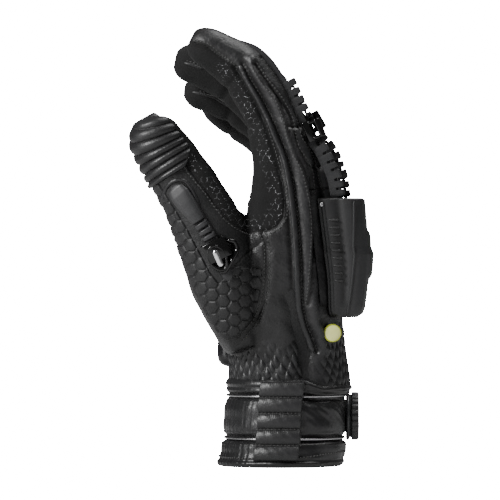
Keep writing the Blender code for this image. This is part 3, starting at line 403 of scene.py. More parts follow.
def corners(mesh):
    """The places of a mesh's vertices, as rows of an array."""
    points = np.empty(len(mesh.vertices) * 3)
    mesh.vertices.foreach_get("co", points)
    return points.reshape(-1, 3)


def facing(mesh):
    """The normals of a mesh's vertices, as rows of an array."""
    normals = np.empty(len(mesh.vertices) * 3)
    mesh.vertices.foreach_get("normal", normals)
    return normals.reshape(-1, 3)


def relaxed(points, edges, weight, rounds):
    """Points moved towards the mean of their neighbours, weight of the way each round."""
    a, b = edges.T
    count = np.bincount(edges.ravel(), minlength=len(points))[:, None]
    for _ in range(rounds):
        total = np.stack(
            [
                np.bincount(a, points[b, k], len(points)) + np.bincount(b, points[a, k], len(points))
                for k in range(3)
            ],
            axis=-1,
        )
        points = points + weight[:, None] * (total / count - points)
    return points


def joined_skin(name, grow, voxel, floor_height, smooth_rounds):
    """The hand, stalls and thumb as one skin: their closed lofts are joined by a
    voxel remesh, smoothed, and opened at the wrist."""
    turn = round_turns(72)
    parts = [hand_skin(np.linspace(0.036, ROOT_HEIGHT, 70)[:, None], turn[None, :], grow)]
    to_tip = 1 - 0.14 * np.cos(np.linspace(0, math.pi / 2, 16))[:-1]
    shares = np.concatenate([np.linspace(0, 0.86, 60), to_tip])
    for finger in FINGERS:
        rings = finger_skin(finger, shares, turn[None, :], grow)
        sunk = rings[:1] * (1.0, 1.0, 1.0) + (0.0, 0.0, -0.010)
        sunk[..., :2] = sunk[..., :2] * 0.96 + sunk[..., :2].mean(1, keepdims=True) * 0.04
        parts.append(np.concatenate([sunk, rings]))
    parts.append(thumb_skin(shares, turn[None, :], grow))
    web_turn, web_rise = turn[None, :], np.linspace(-1, 1, 20)[:, None]
    web = WEB["middle"] + np.stack(
        [
            WEB["half"][0] * np.cos(web_turn) * np.sqrt(1 - web_rise**2),
            WEB["half"][1] * np.sin(web_turn) * np.sqrt(1 - web_rise**2),
            WEB["half"][2] * web_rise * np.ones_like(web_turn),
        ],
        axis=-1,
    )
    parts.append(web)
    points, faces = [], []
    for rings in parts:
        some, theirs = capped(rings)
        faces += [[corner + sum(map(len, points)) for corner in face] for face in theirs]
        points.append(some)
    rough = make_piece(name, np.concatenate(points), faces)
    union = rough.modifiers.new("union", "REMESH")
    union.mode = "VOXEL"
    union.voxel_size = voxel
    mesh = baked(rough, name)
    edges = np.empty(len(mesh.edges) * 2, int)
    mesh.edges.foreach_get("vertices", edges)
    points = corners(mesh)
    fold = bell(np.linalg.norm((points - CROTCH) / CROTCH_REACH, axis=1), 1.0)
    points = relaxed(points, edges.reshape(-1, 2), 0.5 + 0.45 * fold, smooth_rounds)
    polygons = np.empty(len(mesh.polygons) * 4, int)
    mesh.polygons.foreach_get("vertices", polygons)
    polygons = polygons.reshape(-1, 4)
    kept = polygons[points[polygons, 2].min(1) > floor_height]
    used, inverse = np.unique(kept, return_inverse=True)
    return points[used], inverse.reshape(-1, 4)


WEB = {"middle": np.array([-0.027, -0.036, 0.1240]), "half": (0.010, 0.013, 0.019)}
CROTCH = np.array([-0.029, -0.036, 0.134])
CROTCH_REACH = np.array([0.016, 0.030, 0.022])
skin_points, skin_faces = joined_skin("skin", 0.0, 0.00105, 0.0440, 12)


def pixels(points):
    """Where points show in the photograph, as (column, row)."""
    near = CAMERA_DISTANCE / (CAMERA_DISTANCE + points[..., 1])
    column = PICTURE_MIDDLE + (points[..., 0] - look_x) / PIXEL * near
    row = PICTURE_MIDDLE - (points[..., 2] - look_z) / PIXEL * near
    return np.stack([column, row], axis=-1)


def inside(spots, outline):
    """Which spots lie inside a closed outline, by counting the edges to their right."""
    outline = np.asarray(outline, float)
    within = np.zeros(spots.shape[:-1], bool)
    for (x0, y0), (x1, y1) in zip(outline, np.roll(outline, -1, axis=0)):
        spans = (y0 > spots[..., 1]) != (y1 > spots[..., 1])
        cross = x0 + (spots[..., 1] - y0) * (x1 - x0) / (y1 - y0 if y1 != y0 else 1e-9)
        within ^= spans & (spots[..., 0] < cross)
    return within


def beside(spots, path):
    """Each spot's distance from a path of straight runs."""
    nearest = np.full(spots.shape[:-1], 1e9)
    path = np.asarray(path, float)
    for start, end in zip(path[:-1], path[1:]):
        run = end - start
        t = np.clip(((spots - start) @ run) / (run @ run), 0, 1)
        nearest = np.minimum(nearest, np.linalg.norm(spots - start - t[..., None] * run, axis=-1))
    return nearest


# Lines of the photograph that the leather's forms follow, as (column, row).
PIPING_LINE = (
    (239, 65), (247.9, 83), (257.5, 98.8), (268.5, 120.6), (276, 138.7), (283, 155.7), (287, 171.5),
    (290.3, 189.6), (292.5, 207.8), (294.2, 222.5), (295.8, 244.2), (296.9, 265.9), (297.4, 287.6),
    (299, 307), (302.9, 325.6), (309.4, 341.8), (313, 353),
)
PANEL_SEAM = (
    (253.9, 64.8), (264.8, 83), (275.7, 95.1), (280.6, 104.8), (286.6, 120.6), (289.5, 135.1),
    (295.1, 152), (303.6, 167.8), (308.4, 183.6), (312, 201.8), (314.2, 222.5), (313.9, 244.2),
    (312.6, 265.9), (311, 287.6), (308.8, 303.9),
)
THENAR_SEAM = (
    (261.6, 233.4), (265.4, 244.2), (266, 265.9), (265.4, 282.2), (261.6, 303.9), (255.1, 319),
    (247.5, 328.8), (238.9, 338.6),
)
SUEDE_EDGE = (
    (167.5, 119), (175, 129), (184.5, 141), (186, 153), (186.4, 165.7), (195.9, 178.8), (206.8, 191.8),
    (217.6, 207), (228.5, 220), (239.3, 227.6), (250.2, 231.9), (266.4, 231.9), (277.3, 226.5),
    (283.6, 217.8), (284.8, 202.6), (283, 185), (277.3, 166), (268.6, 137.5), (259.9, 112), (249, 90),
    (239, 72), (233, 67), (218, 55), (205, 45), (190, 42.5),
)
SUEDE_PATCH = SUEDE_EDGE + ((183, 30), (150, 30), (150, 60), (150, 100), (160, 112))
PRINT_LINE = (
    (190, 152), (199, 168), (210, 183), (221, 199), (231, 212), (243, 222), (256, 226), (268, 224),
    (276.5, 214), (278, 200), (274, 175), (266, 150), (257, 125), (247, 103), (236, 85), (225, 70),
)
PRINT_REACH = 8.5
FINGER_SEAM = ((255, 63), (266, 80), (277.5, 94), (290.5, 117), (297.5, 147), (309, 166), (313.5, 196))
SPINE_SEAM = (
    (262, 57), (275, 70), (286, 86), (295, 106), (301, 127), (304, 137), (312, 149), (318, 165), (323, 190),
)
KNUCKLE_SEAM = ((289, 126.5), (301, 126.5))
ROOT_SEAM = ((308, 167.5), (319.5, 166))
THENAR_CREASE = ((236, 264), (247, 253), (261, 242))
TIP_CREASE = ((196, 44), (214, 50), (230, 60), (240, 72))
WRIST_FOLD = ((290, 296), (296, 320), (303, 345), (306, 372), (306, 386))
FORMS = (
    {"path": PIPING_LINE, "shift": 4.6, "reach": 2.4, "rise": -0.0019},
    {"path": PIPING_LINE, "shift": -4.6, "reach": 2.6, "rise": -0.0013},
    {"path": PIPING_LINE, "shift": 13.0, "reach": 5.0, "rise": 0.0023},
    {"path": PANEL_SEAM, "shift": 0.0, "reach": 2.2, "rise": -0.0020},
    {"path": THENAR_SEAM, "shift": 1.0, "reach": 3.2, "rise": -0.0012},
    {"path": WRIST_FOLD, "shift": 0.0, "reach": 9.0, "rise": -0.0030},
    {"path": SUEDE_EDGE, "shift": 0.0, "reach": 1.8, "rise": -0.0010},
    {"path": FINGER_SEAM, "shift": 0.0, "reach": 1.5, "rise": -0.0013},
    {"path": SPINE_SEAM, "shift": 0.0, "reach": 1.5, "rise": -0.0013},
    {"path": FINGER_SEAM, "shift": -4.5, "reach": 4.0, "rise": 0.0010},
    {"path": KNUCKLE_SEAM, "shift": 0.0, "reach": 1.4, "rise": -0.0014},
    {"path": ROOT_SEAM, "shift": 0.0, "reach": 1.4, "rise": -0.0014},
    {"path": THENAR_CREASE, "shift": 0.0, "reach": 1.4, "rise": -0.0010},
    {"path": TIP_CREASE, "shift": 0.0, "reach": 2.4, "rise": -0.0010},
)


def shifted(path, shift):
    """A path moved sideways, to the right of its direction down the picture."""
    path = np.asarray(path, float)
    run = np.gradient(path, axis=0)
    run /= np.linalg.norm(run, axis=1, keepdims=True)
    return path + shift * np.stack([run[:, 1], -run[:, 0]], axis=-1)


def on_fingers(points):
    """For each finger, each point's nearest share, and how far it lies towards the
    back of the finger, as a share of its half depth."""
    found = {}
    for finger in FINGERS:
        share = np.linspace(0, 1, 101)
        middle, dorsal, _, depth, _ = finger_line(finger, share)
        near = np.zeros(len(points), int)
        gap = np.full(len(points), 1e9)
        for k in range(len(share)):
            away = np.linalg.norm(points - middle[k], axis=1)
            closer = away < gap
            near[closer], gap[closer] = k, away[closer]
        lifted = np.sum((points - middle[near]) * dorsal[near], axis=1) / depth[near]
        found[finger] = (share[near], lifted, gap)
    return found


skin = make_piece("glove_leather", skin_points, skin_faces)
skin_normals = facing(skin.data)
spots = pixels(skin_points)
towards = soft(-0.15, 0.45, -skin_normals[:, 1])
rise = np.zeros(len(skin_points))
for form in FORMS:
    off = beside(spots, shifted(form["path"], form["shift"]))
    rise += form["rise"] * bell(off, form["reach"]) * towards
# Soft rumples over the whole skin, deeper towards the wrist.
rumple = np.sin(skin_points @ (310, 90, 240)) * np.sin(skin_points @ (-120, 260, 330) + 1.3)
rise += 0.00022 * rumple * (1 + 1.5 * soft(0.11, 0.05, skin_points[:, 2]))
finger_places = on_fingers(skin_points)
gaps = np.stack([place[2] for place in finger_places.values()])
whose = np.argmin(gaps, axis=0)
share_of = np.choose(whose, [place[0] for place in finger_places.values()])
lift_of = np.choose(whose, [place[1] for place in finger_places.values()])
on_finger = (skin_points[:, 2] > ROOT_HEIGHT - 0.004) & (share_of > 0.0) & (gaps.min(0) < 0.026)
# The palm: a suede panel inside a curved seam, with two soft pads and the hand's creases.
PALM_OUTLINE = (
    (-0.033, 0.176), (-0.034, 0.160), (-0.033, 0.140), (-0.027, 0.118), (-0.020, 0.102), (-0.012, 0.0905),
    (0.000, 0.0840), (0.014, 0.0815), (0.030, 0.0825), (0.041, 0.0880), (0.0465, 0.0990), (0.0490, 0.120),
    (0.0500, 0.145), (0.0500, 0.176),
)
PALM_PADS = (
    (
        (0.014, 0.090), (0.034, 0.091), (0.0425, 0.101), (0.0440, 0.122), (0.033, 0.129), (0.021, 0.120),
        (0.0135, 0.104),
    ),
    (
        (-0.027, 0.140), (-0.008, 0.136), (0.020, 0.137), (0.0435, 0.135), (0.0435, 0.149), (0.020, 0.152),
        (-0.026, 0.153),
    ),
)
PALM_PAD_RISE, PALM_PAD_EDGE, PALM_EDGE = 0.0013, 0.0050, 0.0014
PAD_GROOVE, PAD_GROOVE_WIDTH = 0.0006, 0.0009
JOINT_CREASES, JOINT_CREASE, JOINT_CREASE_DEPTH = (0.32, 0.62), 0.03, 0.0010


def within(places, outline, edge):
    """1 inside a closed outline and 0 outside it, with a soft edge between."""
    apart = beside(places, tuple(outline) + tuple(outline[:1]))
    return np.clip(0.5 + np.where(inside(places, outline), apart, -apart) / edge, 0, 1)


laid_flat = skin_points[:, 1:3]
facing_palm = soft(-0.05, -0.30, skin_normals[:, 0]) * (skin_points[:, 2] < ROOT_HEIGHT + 0.010)
palm = within(laid_flat, PALM_OUTLINE, PALM_EDGE) * facing_palm
for pad_outline in PALM_PADS:
    rim_off = beside(laid_flat, pad_outline + pad_outline[:1])
    rise += PALM_PAD_RISE * within(laid_flat, pad_outline, PALM_PAD_EDGE) * facing_palm
    rise -= PAD_GROOVE * bell(rim_off, PAD_GROOVE_WIDTH) * facing_palm
# Creases across the palm side of the fingers at their joints.
crease = sum(bell(share_of - joint, JOINT_CREASE) for joint in JOINT_CREASES)
crease = crease * on_finger * soft(0.1, -0.6, lift_of)
rise -= JOINT_CREASE_DEPTH * crease
skin_points = skin_points + skin_normals * rise[:, None]
skin.data.vertices.foreach_set("co", skin_points.ravel())
skin.data.update()

near_side = soft(0.3, -0.1, skin_normals[:, 1])
# Painted light in the leather's colour: a painted shadow in its grooves, seams and creases, and a painted
# highlight where a form stands proud and along the piping.
groove_shadow_mask = 0.7 * crease
for pad_outline in PALM_PADS + (PALM_OUTLINE,):
    groove_shadow_mask = groove_shadow_mask + bell(beside(laid_flat, pad_outline), 0.0010) * facing_palm
ridge_highlight_mask = 0 * groove_shadow_mask
# Seams and dents get painted shadow and raised forms get a painted highlight, on the near side only.
for form in FORMS:
    off = beside(spots, shifted(form["path"], form["shift"])) / max(form["reach"], 1.6)
    if form["rise"] < 0 and form["path"] is not WRIST_FOLD:
        groove_shadow_mask = groove_shadow_mask + bell(off, 0.85) * near_side
    elif form["rise"] > 0:
        ridge_highlight_mask = ridge_highlight_mask + bell(off, 1.0) * near_side
ridge_highlight_mask = ridge_highlight_mask + bell(beside(spots, PIPING_LINE), 2.6) * near_side
suede = within(spots, SUEDE_PATCH, 2.0) * (skin_normals[:, 1] < 0.3)
suede = np.maximum(suede, on_finger * soft(-0.10, -0.14, lift_of))
suede = np.maximum(suede, palm)
printed = np.clip(1.25 - beside(spots, PRINT_LINE) / PRINT_REACH, 0, 1)
printed = printed * soft(0.1, -0.3, skin_normals[:, 1]) * (1 - palm)
for layer, values in (
    ("suede", suede),
    ("groove", np.clip(groove_shadow_mask, 0, 1)),
    ("raised", np.clip(ridge_highlight_mask, 0, 1)),
    ("print", printed),
):
    attribute = skin.data.attributes.new(layer, "FLOAT", "POINT")
    attribute.data.foreach_set("value", values)


def add_node(tree, kind, inputs=None, **settings):
    """A shader node with its settings and inputs: a socket is linked, a value is set."""
    made = tree.nodes.new(kind)
    for key, value in settings.items():
        setattr(made, key, value)
    for key, value in (inputs or {}).items():
        if isinstance(value, bpy.types.NodeSocket):
            tree.links.new(value, made.inputs[key])
        else:
            made.inputs[key].default_value = value
    return made


def worked_out(tree, kind, operation, values):
    """A node of an operation on values, each a socket to link or a number to set."""
    return add_node(tree, kind, dict(enumerate(values)), operation=operation)


def sum_of(tree, operation, *values):
    """The result of an operation on numbers."""
    return worked_out(tree, "ShaderNodeMath", operation, values).outputs[0]


def vector_of(tree, operation, *values):
    """A node of an operation on vectors, whose output depends on the operation."""
    return worked_out(tree, "ShaderNodeVectorMath", operation, values)


def new_group(name, inputs, outputs):
    """An empty node group with its sockets, and its input and output nodes."""
    group = bpy.data.node_groups.new(name, "ShaderNodeTree")
    for socket, kind in inputs:
        group.interface.new_socket(socket, in_out="INPUT", socket_type=kind)
    for socket, kind in outputs:
        group.interface.new_socket(socket, in_out="OUTPUT", socket_type=kind)
    return group, group.nodes.new("NodeGroupInput"), group.nodes.new("NodeGroupOutput")


FLOAT, VECTOR = "NodeSocketFloat", "NodeSocketVector"

# Leather grain: small pebbles between fine creases, and slow patches of shade.
grain, held, gives = new_group(
    "leather grain", [("Vector", VECTOR), ("Scale", FLOAT)], [("Height", FLOAT), ("Shade", FLOAT)]
)
where, scale = held.outputs["Vector"], held.outputs["Scale"]
pebbles = add_node(grain, "ShaderNodeTexVoronoi", {"Vector": where, "Scale": scale})
pore_scale = sum_of(grain, "MULTIPLY", scale, 0.35)
pores = add_node(grain, "ShaderNodeTexNoise", {"Vector": where, "Scale": pore_scale, "Detail": 4.0})
patches = add_node(grain, "ShaderNodeTexNoise", {"Vector": where, "Scale": 38.0, "Detail": 3.0})
creases = add_node(
    grain, "ShaderNodeTexNoise",
    {"Vector": where, "Scale": 150.0, "Detail": 5.0, "Roughness": 0.6, "Distortion": 0.6},
)
height = sum_of(grain, "MULTIPLY", pebbles.outputs["Distance"], -0.6)
height = sum_of(grain, "MULTIPLY_ADD", pores.outputs["Fac"], 0.9, height)
height = sum_of(grain, "MULTIPLY_ADD", creases.outputs["Fac"], 4.5, height)
grain.links.new(height, gives.inputs["Height"])
grain.links.new(patches.outputs["Fac"], gives.inputs["Shade"])

# Hexagons in the plane of the vector's X and Z: 0 at a cell's middle, 0.5 at its edge.
hexagons, held, gives = new_group("hexagons", [("Vector", VECTOR), ("Size", FLOAT)], [("Edge", FLOAT)])
split = add_node(hexagons, "ShaderNodeSeparateXYZ", {"Vector": held.outputs["Vector"]})
flat = add_node(hexagons, "ShaderNodeCombineXYZ", {"X": split.outputs["X"], "Y": split.outputs["Z"]})
scaled = vector_of(hexagons, "SCALE", flat.outputs[0])
hexagons.links.new(sum_of(hexagons, "DIVIDE", 1.0, held.outputs["Size"]), scaled.inputs["Scale"])
moved = vector_of(hexagons, "ADD", scaled.outputs[0], (1000.0, 1732.0508, 0.0)).outputs[0]
PERIOD, HALF = (1.0, 1.7320508, 1.0), (0.5, 0.8660254, 0.0)


def from_cell(points):
    """How far each point lies from the middle of its cell in a grid of PERIOD."""
    within = vector_of(hexagons, "MODULO", points, PERIOD).outputs[0]
    return vector_of(hexagons, "SUBTRACT", within, HALF).outputs[0]


first = from_cell(moved)
second = from_cell(vector_of(hexagons, "SUBTRACT", moved, HALF).outputs[0])
closer = sum_of(
    hexagons, "LESS_THAN", vector_of(hexagons, "LENGTH", first).outputs["Value"],
    vector_of(hexagons, "LENGTH", second).outputs["Value"],
)
cell = add_node(
    hexagons, "ShaderNodeMix", {"Factor": closer, "A": (0, 0, 0), "B": (0, 0, 0)}, data_type="VECTOR"
)
hexagons.links.new(second, cell.inputs[4])
hexagons.links.new(first, cell.inputs[5])
size = vector_of(hexagons, "ABSOLUTE", cell.outputs[1]).outputs[0]
slant = vector_of(hexagons, "DOT_PRODUCT", size, HALF).outputs["Value"]
sides = add_node(hexagons, "ShaderNodeSeparateXYZ", {"Vector": size})
hexagons.links.new(sum_of(hexagons, "MAXIMUM", sides.outputs["X"], slant), gives.inputs["Edge"])


def new_material(name, roughness=0.5, **constants):
    """A Principled material with its Object coordinates ready to use."""
    made = bpy.data.materials.new(name)
    made.use_nodes = True
    tree = made.node_tree
    shader = tree.nodes["Principled BSDF"]
    shader.inputs["Roughness"].default_value = roughness
    for socket, value in constants.items():
        shader.inputs[socket.replace("_", " ")].default_value = value
    return made, tree, shader, tree.nodes.new("ShaderNodeTexCoord").outputs["Object"]


def mixed(tree, factor, low, high):
    """A colour between two."""
    made = add_node(tree, "ShaderNodeMix", data_type="RGBA")
    tree.links.new(factor, made.inputs["Factor"])
    for socket, value in ((6, low), (7, high)):
        if isinstance(value, bpy.types.NodeSocket):
            tree.links.new(value, made.inputs[socket])
        else:
            made.inputs[socket].default_value = (*value, 1.0)
    return made.outputs[2]


def noise(tree, where, scale, detail=2.0, roughness=0.5):
    """A cloudy value between 0 and 1, finer as the scale grows."""
    inputs = {"Vector": where, "Scale": scale, "Detail": detail, "Roughness": roughness}
    return add_node(tree, "ShaderNodeTexNoise", inputs).outputs["Fac"]


def ramp(tree, value, low, high):
    """0 where a value is low and 1 where it is high."""
    inputs = {"Value": value, "From Min": low, "From Max": high}
    return add_node(tree, "ShaderNodeMapRange", inputs).outputs["Result"]


def layer_of(tree, name):
    """A value kept in the piece's own attribute."""
    return add_node(tree, "ShaderNodeAttribute", attribute_name=name).outputs["Fac"]


def bumped(tree, shader, height, distance):
    """The shader's normal, tilted by a height that is worth this distance at 1."""
    bump = add_node(tree, "ShaderNodeBump", {"Height": height, "Distance": distance, "Strength": 1.0})
    tree.links.new(bump.outputs[0], shader.inputs["Normal"])


GRAIN_SCALE, GRAIN_DEPTH = 1500.0, 0.00010


def leather_finish(name, dark, light, rough):
    """Pebbled leather between a dark and a light shade."""
    made, tree, shader, where = new_material(name, Specular_IOR_Level=0.5)
    texture = add_node(tree, "ShaderNodeGroup", node_tree=grain)
    tree.links.new(where, texture.inputs["Vector"])
    texture.inputs["Scale"].default_value = GRAIN_SCALE
    tree.links.new(mixed(tree, texture.outputs["Shade"], dark, light), shader.inputs["Base Color"])
    tree.links.new(
        sum_of(tree, "MULTIPLY_ADD", texture.outputs["Shade"], 0.18, rough - 0.09), shader.inputs["Roughness"]
    )
    bumped(tree, shader, texture.outputs["Height"], GRAIN_DEPTH)
    return made, tree, shader, where, texture


# The skin's finish: satin goat leather, with suede where the hand grips and a silver honeycomb of dots
# printed along the suede's edge, and with a painted shadow in its grooves and a painted highlight on its
# raised forms.
SUEDE_DARK, SUEDE_LIGHT = (0.0010, 0.0010, 0.0011), (0.0028, 0.0028, 0.0029)
# Colours of painted light: a painted highlight for raised forms, and a painted shadow for grooves and seams.
RAISED_PAINTED_HIGHLIGHT, GROOVE_PAINTED_SHADOW = (0.026, 0.026, 0.027), (0.0008, 0.0008, 0.0008)
PRINT_SILVER = (0.42, 0.42, 0.44)
PRINT_CELL = 0.0034
skin_leather, tree, shader, where, texture = leather_finish(
    "goat_leather", (0.0060, 0.0060, 0.0063), (0.0120, 0.0120, 0.0126), 0.44
)
is_suede = ramp(tree, layer_of(tree, "suede"), 0.35, 0.65)
cells = add_node(tree, "ShaderNodeGroup", {"Vector": where, "Size": PRINT_CELL}, node_tree=hexagons)
lines = ramp(tree, cells.outputs["Edge"], 0.41, 0.46)
dots = add_node(tree, "ShaderNodeTexVoronoi", {"Vector": where, "Scale": 1500.0})
dots = ramp(tree, dots.outputs["Distance"], 0.42, 0.30)
worn = ramp(tree, noise(tree, where, 260.0, 3.0), 0.40, 0.56)
silver = sum_of(tree, "MULTIPLY", worn, layer_of(tree, "print"))
silver = sum_of(tree, "MULTIPLY", sum_of(tree, "MULTIPLY", lines, dots), silver)
nap = noise(tree, where, 900.0, 6.0, 0.75)
suede_shade = mixed(tree, silver, mixed(tree, nap, SUEDE_DARK, SUEDE_LIGHT), PRINT_SILVER)
plain = shader.inputs["Base Color"].links[0].from_socket
# Painted highlight: the leather is paled where a form stands proud and along the piping.
plain = mixed(tree, sum_of(tree, "MULTIPLY", layer_of(tree, "raised"), 0.75), plain, RAISED_PAINTED_HIGHLIGHT)
both = mixed(tree, is_suede, plain, suede_shade)
# Painted shadow: the colour is darkened almost to black in the grooves, seams and creases.
both = mixed(tree, sum_of(tree, "MULTIPLY", layer_of(tree, "groove"), 0.9), both, GROOVE_PAINTED_SHADOW)
tree.links.new(both, shader.inputs["Base Color"])
satin = shader.inputs["Roughness"].links[0].from_socket
tree.links.new(
    add_node(tree, "ShaderNodeMix", {"Factor": is_suede, "A": satin, "B": 0.92}).outputs["Result"],
    shader.inputs["Roughness"],
)
rough_nap = add_node(
    tree, "ShaderNodeMix", {"Factor": is_suede, "A": texture.outputs["Height"], "B": nap}
).outputs["Result"]
bumped(tree, shader, rough_nap, 0.00016)
skin.data.materials.append(skin_leather)
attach(skin, "glove")
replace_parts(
    skin, "hand", "index_finger", "middle_finger", "ring_finger", "little_finger", "thumb", "palm_patch"
)

# The lining: soft black fleece bonded inside the leather, seen through the cuff.
lining_points, lining_faces = joined_skin("lining_form", -LEATHER, 0.0025, 0.0440, 6)
fleece, tree, shader, where = new_material("lining_fleece", 0.95)
fluff = noise(tree, where, 1200.0, 5.0)
tree.links.new(mixed(tree, fluff, (0.010, 0.010, 0.010), (0.030, 0.030, 0.031)), shader.inputs["Base Color"])
bumped(tree, shader, fluff, 0.0003)
make_piece("lining", lining_points, lining_faces[:, ::-1], fleece, "suede")


# The raised seams: a rolled strip of leather is sewn down the thumb side from the index
# finger to the wrist, and cut edges are turned in and stitched along every panel.
CLEAR_OF_GLOVE = -0.12
GUESSED_DEPTH = -0.04


def seen(spots, depth):
    """The points that show at places of the photograph, at given depths."""
    near = (CAMERA_DISTANCE + depth) / CAMERA_DISTANCE
    x = look_x + (spots[..., 0] - PICTURE_MIDDLE) * PIXEL * near
    z = look_z - (spots[..., 1] - PICTURE_MIDDLE) * PIXEL * near
    return np.stack([x, depth * np.ones_like(x), z], axis=-1)


def dropped(points, target, axis=1, positive=True):
    """Points carried along an axis until they meet a piece; the rest stay."""
    mesh = bpy.data.meshes.new("dropped")
    mesh.from_pydata(points.reshape(-1, 3).tolist(), [], [])
    probe = bpy.data.objects.new("dropped", mesh)
    bpy.context.scene.collection.objects.link(probe)
    wrap = probe.modifiers.new("wrap", "SHRINKWRAP")
    wrap.target = target
    wrap.wrap_method = "PROJECT"
    wrap.use_project_x, wrap.use_project_y, wrap.use_project_z = axis == 0, axis == 1, False
    wrap.use_positive_direction, wrap.use_negative_direction = positive, not positive
    landed = baked(probe, "dropped")
    return corners(landed).reshape(points.shape)


def laid(spots, target):
    """Where the view through places of the photograph meets a piece, and whether it
    does. The depth is found in three rounds, because the view spreads a little."""
    depth = np.full(spots.shape[:-1], GUESSED_DEPTH)
    for _ in range(3):
        start = seen(spots, depth)
        start[..., 1] = CLEAR_OF_GLOVE
        landed = dropped(start, target)
        met = landed[..., 1] > CLEAR_OF_GLOVE + 0.0001
        depth = np.where(met, landed[..., 1], GUESSED_DEPTH)
    return seen(spots, depth), met


def traced(path, step):
    """A smooth path through points, at even steps."""
    path = np.asarray(path, float)
    gone = length_along(path)
    at = np.linspace(0, gone[-1], max(int(gone[-1] / step), 2) + 1)
    return np.stack([eased(gone, path[:, k], at) for k in range(path.shape[1])], axis=-1)


def pressed_on(path, target, step):
    """A path of the photograph laid on a piece: its points and the way out of them."""
    spots = traced(path, step)
    grid = spots[:, None] + np.array([(0, 0), (1.2, 0), (0, 1.2), (-1.2, 0), (0, -1.2)])
    points, met = laid(grid, target)
    kept = met.all(1)
    out = unit(np.cross(points[:, 1] - points[:, 3], points[:, 4] - points[:, 2]))
    out *= -np.sign(out[:, 1:2])
    return points[kept, 0], out[kept]


def welt(points, out, half_width, half_height, sink=0.0, sides=12, taper=4):
    """A tube laid along a path: an ellipse across it, thinner over its first and last
    few steps."""
    across = unit(np.cross(unit(np.gradient(points, axis=0)), out))
    count = len(points)
    ends = np.minimum(np.arange(count), np.arange(count)[::-1]) / taper
    thick = np.sin(np.clip(ends + 0.12, 0, 1) * math.pi / 2)[:, None, None]
    turn = round_turns(sides)[None, :, None]
    ring = half_width * np.cos(turn) * across[:, None] + half_height * np.sin(turn) * out[:, None]
    return capped(points[:, None] - sink * out[:, None] + thick * ring)


def plain_welts(name, welts, material, slot):
    """One piece of several closed welts, facing out."""
    piece = make_piece(name, *merged(welts), material, slot)
    outward(piece)
    return piece


def merged(parts):
    """Points and faces of many small meshes as one."""
    points, faces, start = [], [], 0
    for some, theirs in parts:
        points.append(some)
        faces += [[corner + start for corner in face] for face in theirs]
        start += len(some)
    return np.concatenate(points), faces


STITCH_LONG, STITCH_LIFT = 0.62, 0.00005


def stitch_row(points, out, pitch, radius=0.00036):
    """Stitches along a path: short rounded bars, a pitch apart, lying in its run."""
    gone = length_along(points)
    middles = np.arange(pitch / 2, gone[-1], pitch)
    share = np.array([-0.5, -0.42, 0.0, 0.42, 0.5])
    thick = np.array([0.25, 0.85, 1.0, 0.85, 0.25])
    at = middles[:, None] + share[None, :] * pitch * STITCH_LONG
    line, away = read_along(points, gone, at), read_along(out, gone, at)
    across = np.cross(unit(line[:, -1:] - line[:, :1]), away)
    turn = round_turns(6)[None, None, :, None]
    ring = np.cos(turn) * across[:, :, None] + np.sin(turn) * away[:, :, None]
    rings = (line + away * STITCH_LIFT)[:, :, None] + radius * thick[None, :, None, None] * ring
    faces = grid_faces(5, 6, True)
    caps = [[5, 4, 3, 2, 1, 0], [24, 25, 26, 27, 28, 29]]
    start = (np.arange(len(middles)) * 30)[:, None, None]
    quads = (faces[None] + start).reshape(-1, 4).tolist()
    hexes = (np.array(caps)[None] + start).reshape(-1, 6).tolist()
    return rings.reshape(-1, 3), quads + hexes


EDGE_DARK, EDGE_LIGHT = (0.0100, 0.0100, 0.0105), (0.0190, 0.0190, 0.0200)
edge_leather, *_ = leather_finish("rolled_edge_leather", EDGE_DARK, EDGE_LIGHT, 0.40)
black_thread, tree, shader, where = new_material("black_thread", 0.62, Sheen_Weight=0.2)
fibres = noise(tree, where, 2400.0)
thread_shade = mixed(tree, fibres, (0.016, 0.016, 0.016), (0.045, 0.045, 0.045))
tree.links.new(thread_shade, shader.inputs["Base Color"])
bumped(tree, shader, fibres, 0.00008)

PIPING_HALF, WELT_SINK = (0.0017, 0.0013), 0.0001
line, out = pressed_on(PIPING_LINE, skin, 1.5)
make_piece("piping", *welt(line, out, *PIPING_HALF, WELT_SINK), edge_leather, "leather")

STITCH_PITCH = 0.0021
SEWN_LINES = (
    (THENAR_SEAM, -1.6), (THENAR_SEAM, 3.6), (PANEL_SEAM, -3.0), (SUEDE_EDGE, -2.6), (PIPING_LINE, 4.4),
    (FINGER_SEAM, 1.6), (SPINE_SEAM, -2.2),
)
rows = []
for path, shift in SEWN_LINES:
    line, out = pressed_on(shifted(path, shift), skin, 1.5)
    rows.append(stitch_row(line, out, STITCH_PITCH))
make_piece("seam_stitches", *merged(rows), black_thread, "soft_leather")


# The gathers: elastic thread sewn inside the wrist draws its leather into rows of
# small puffed diamonds, all round but for a smooth strip on the thumb side.
GATHER_SPAN = (0.0425, 0.0800)
GATHER_CELL = (0.0056, 0.0100)
GATHER_PUFF = 0.00135
GATHER_TOP = 0.0700


def formed(points, out):
    """How far the photograph's lines raise or sink the leather at points."""
    at = pixels(points)
    near = soft(-0.15, 0.45, -out[..., 1])
    total = 0.0
    for form in FORMS:
        off = beside(at, shifted(form["path"], form["shift"]))
        total = total + form["rise"] * bell(off, form["reach"]) * near
    return total


def grid_piece(name, grid, closed, lift, material, slot):
    """A grid as a piece, raised along its own normals by lift."""
    rows, columns = grid.shape[:2]
    piece = make_piece(name, grid.reshape(-1, 3), grid_faces(rows, columns, closed), material, slot)
    raised = grid.reshape(-1, 3) + facing(piece.data) * np.asarray(lift).reshape(-1, 1)
    piece.data.vertices.foreach_set("co", raised.ravel())
    piece.data.update()
    return piece


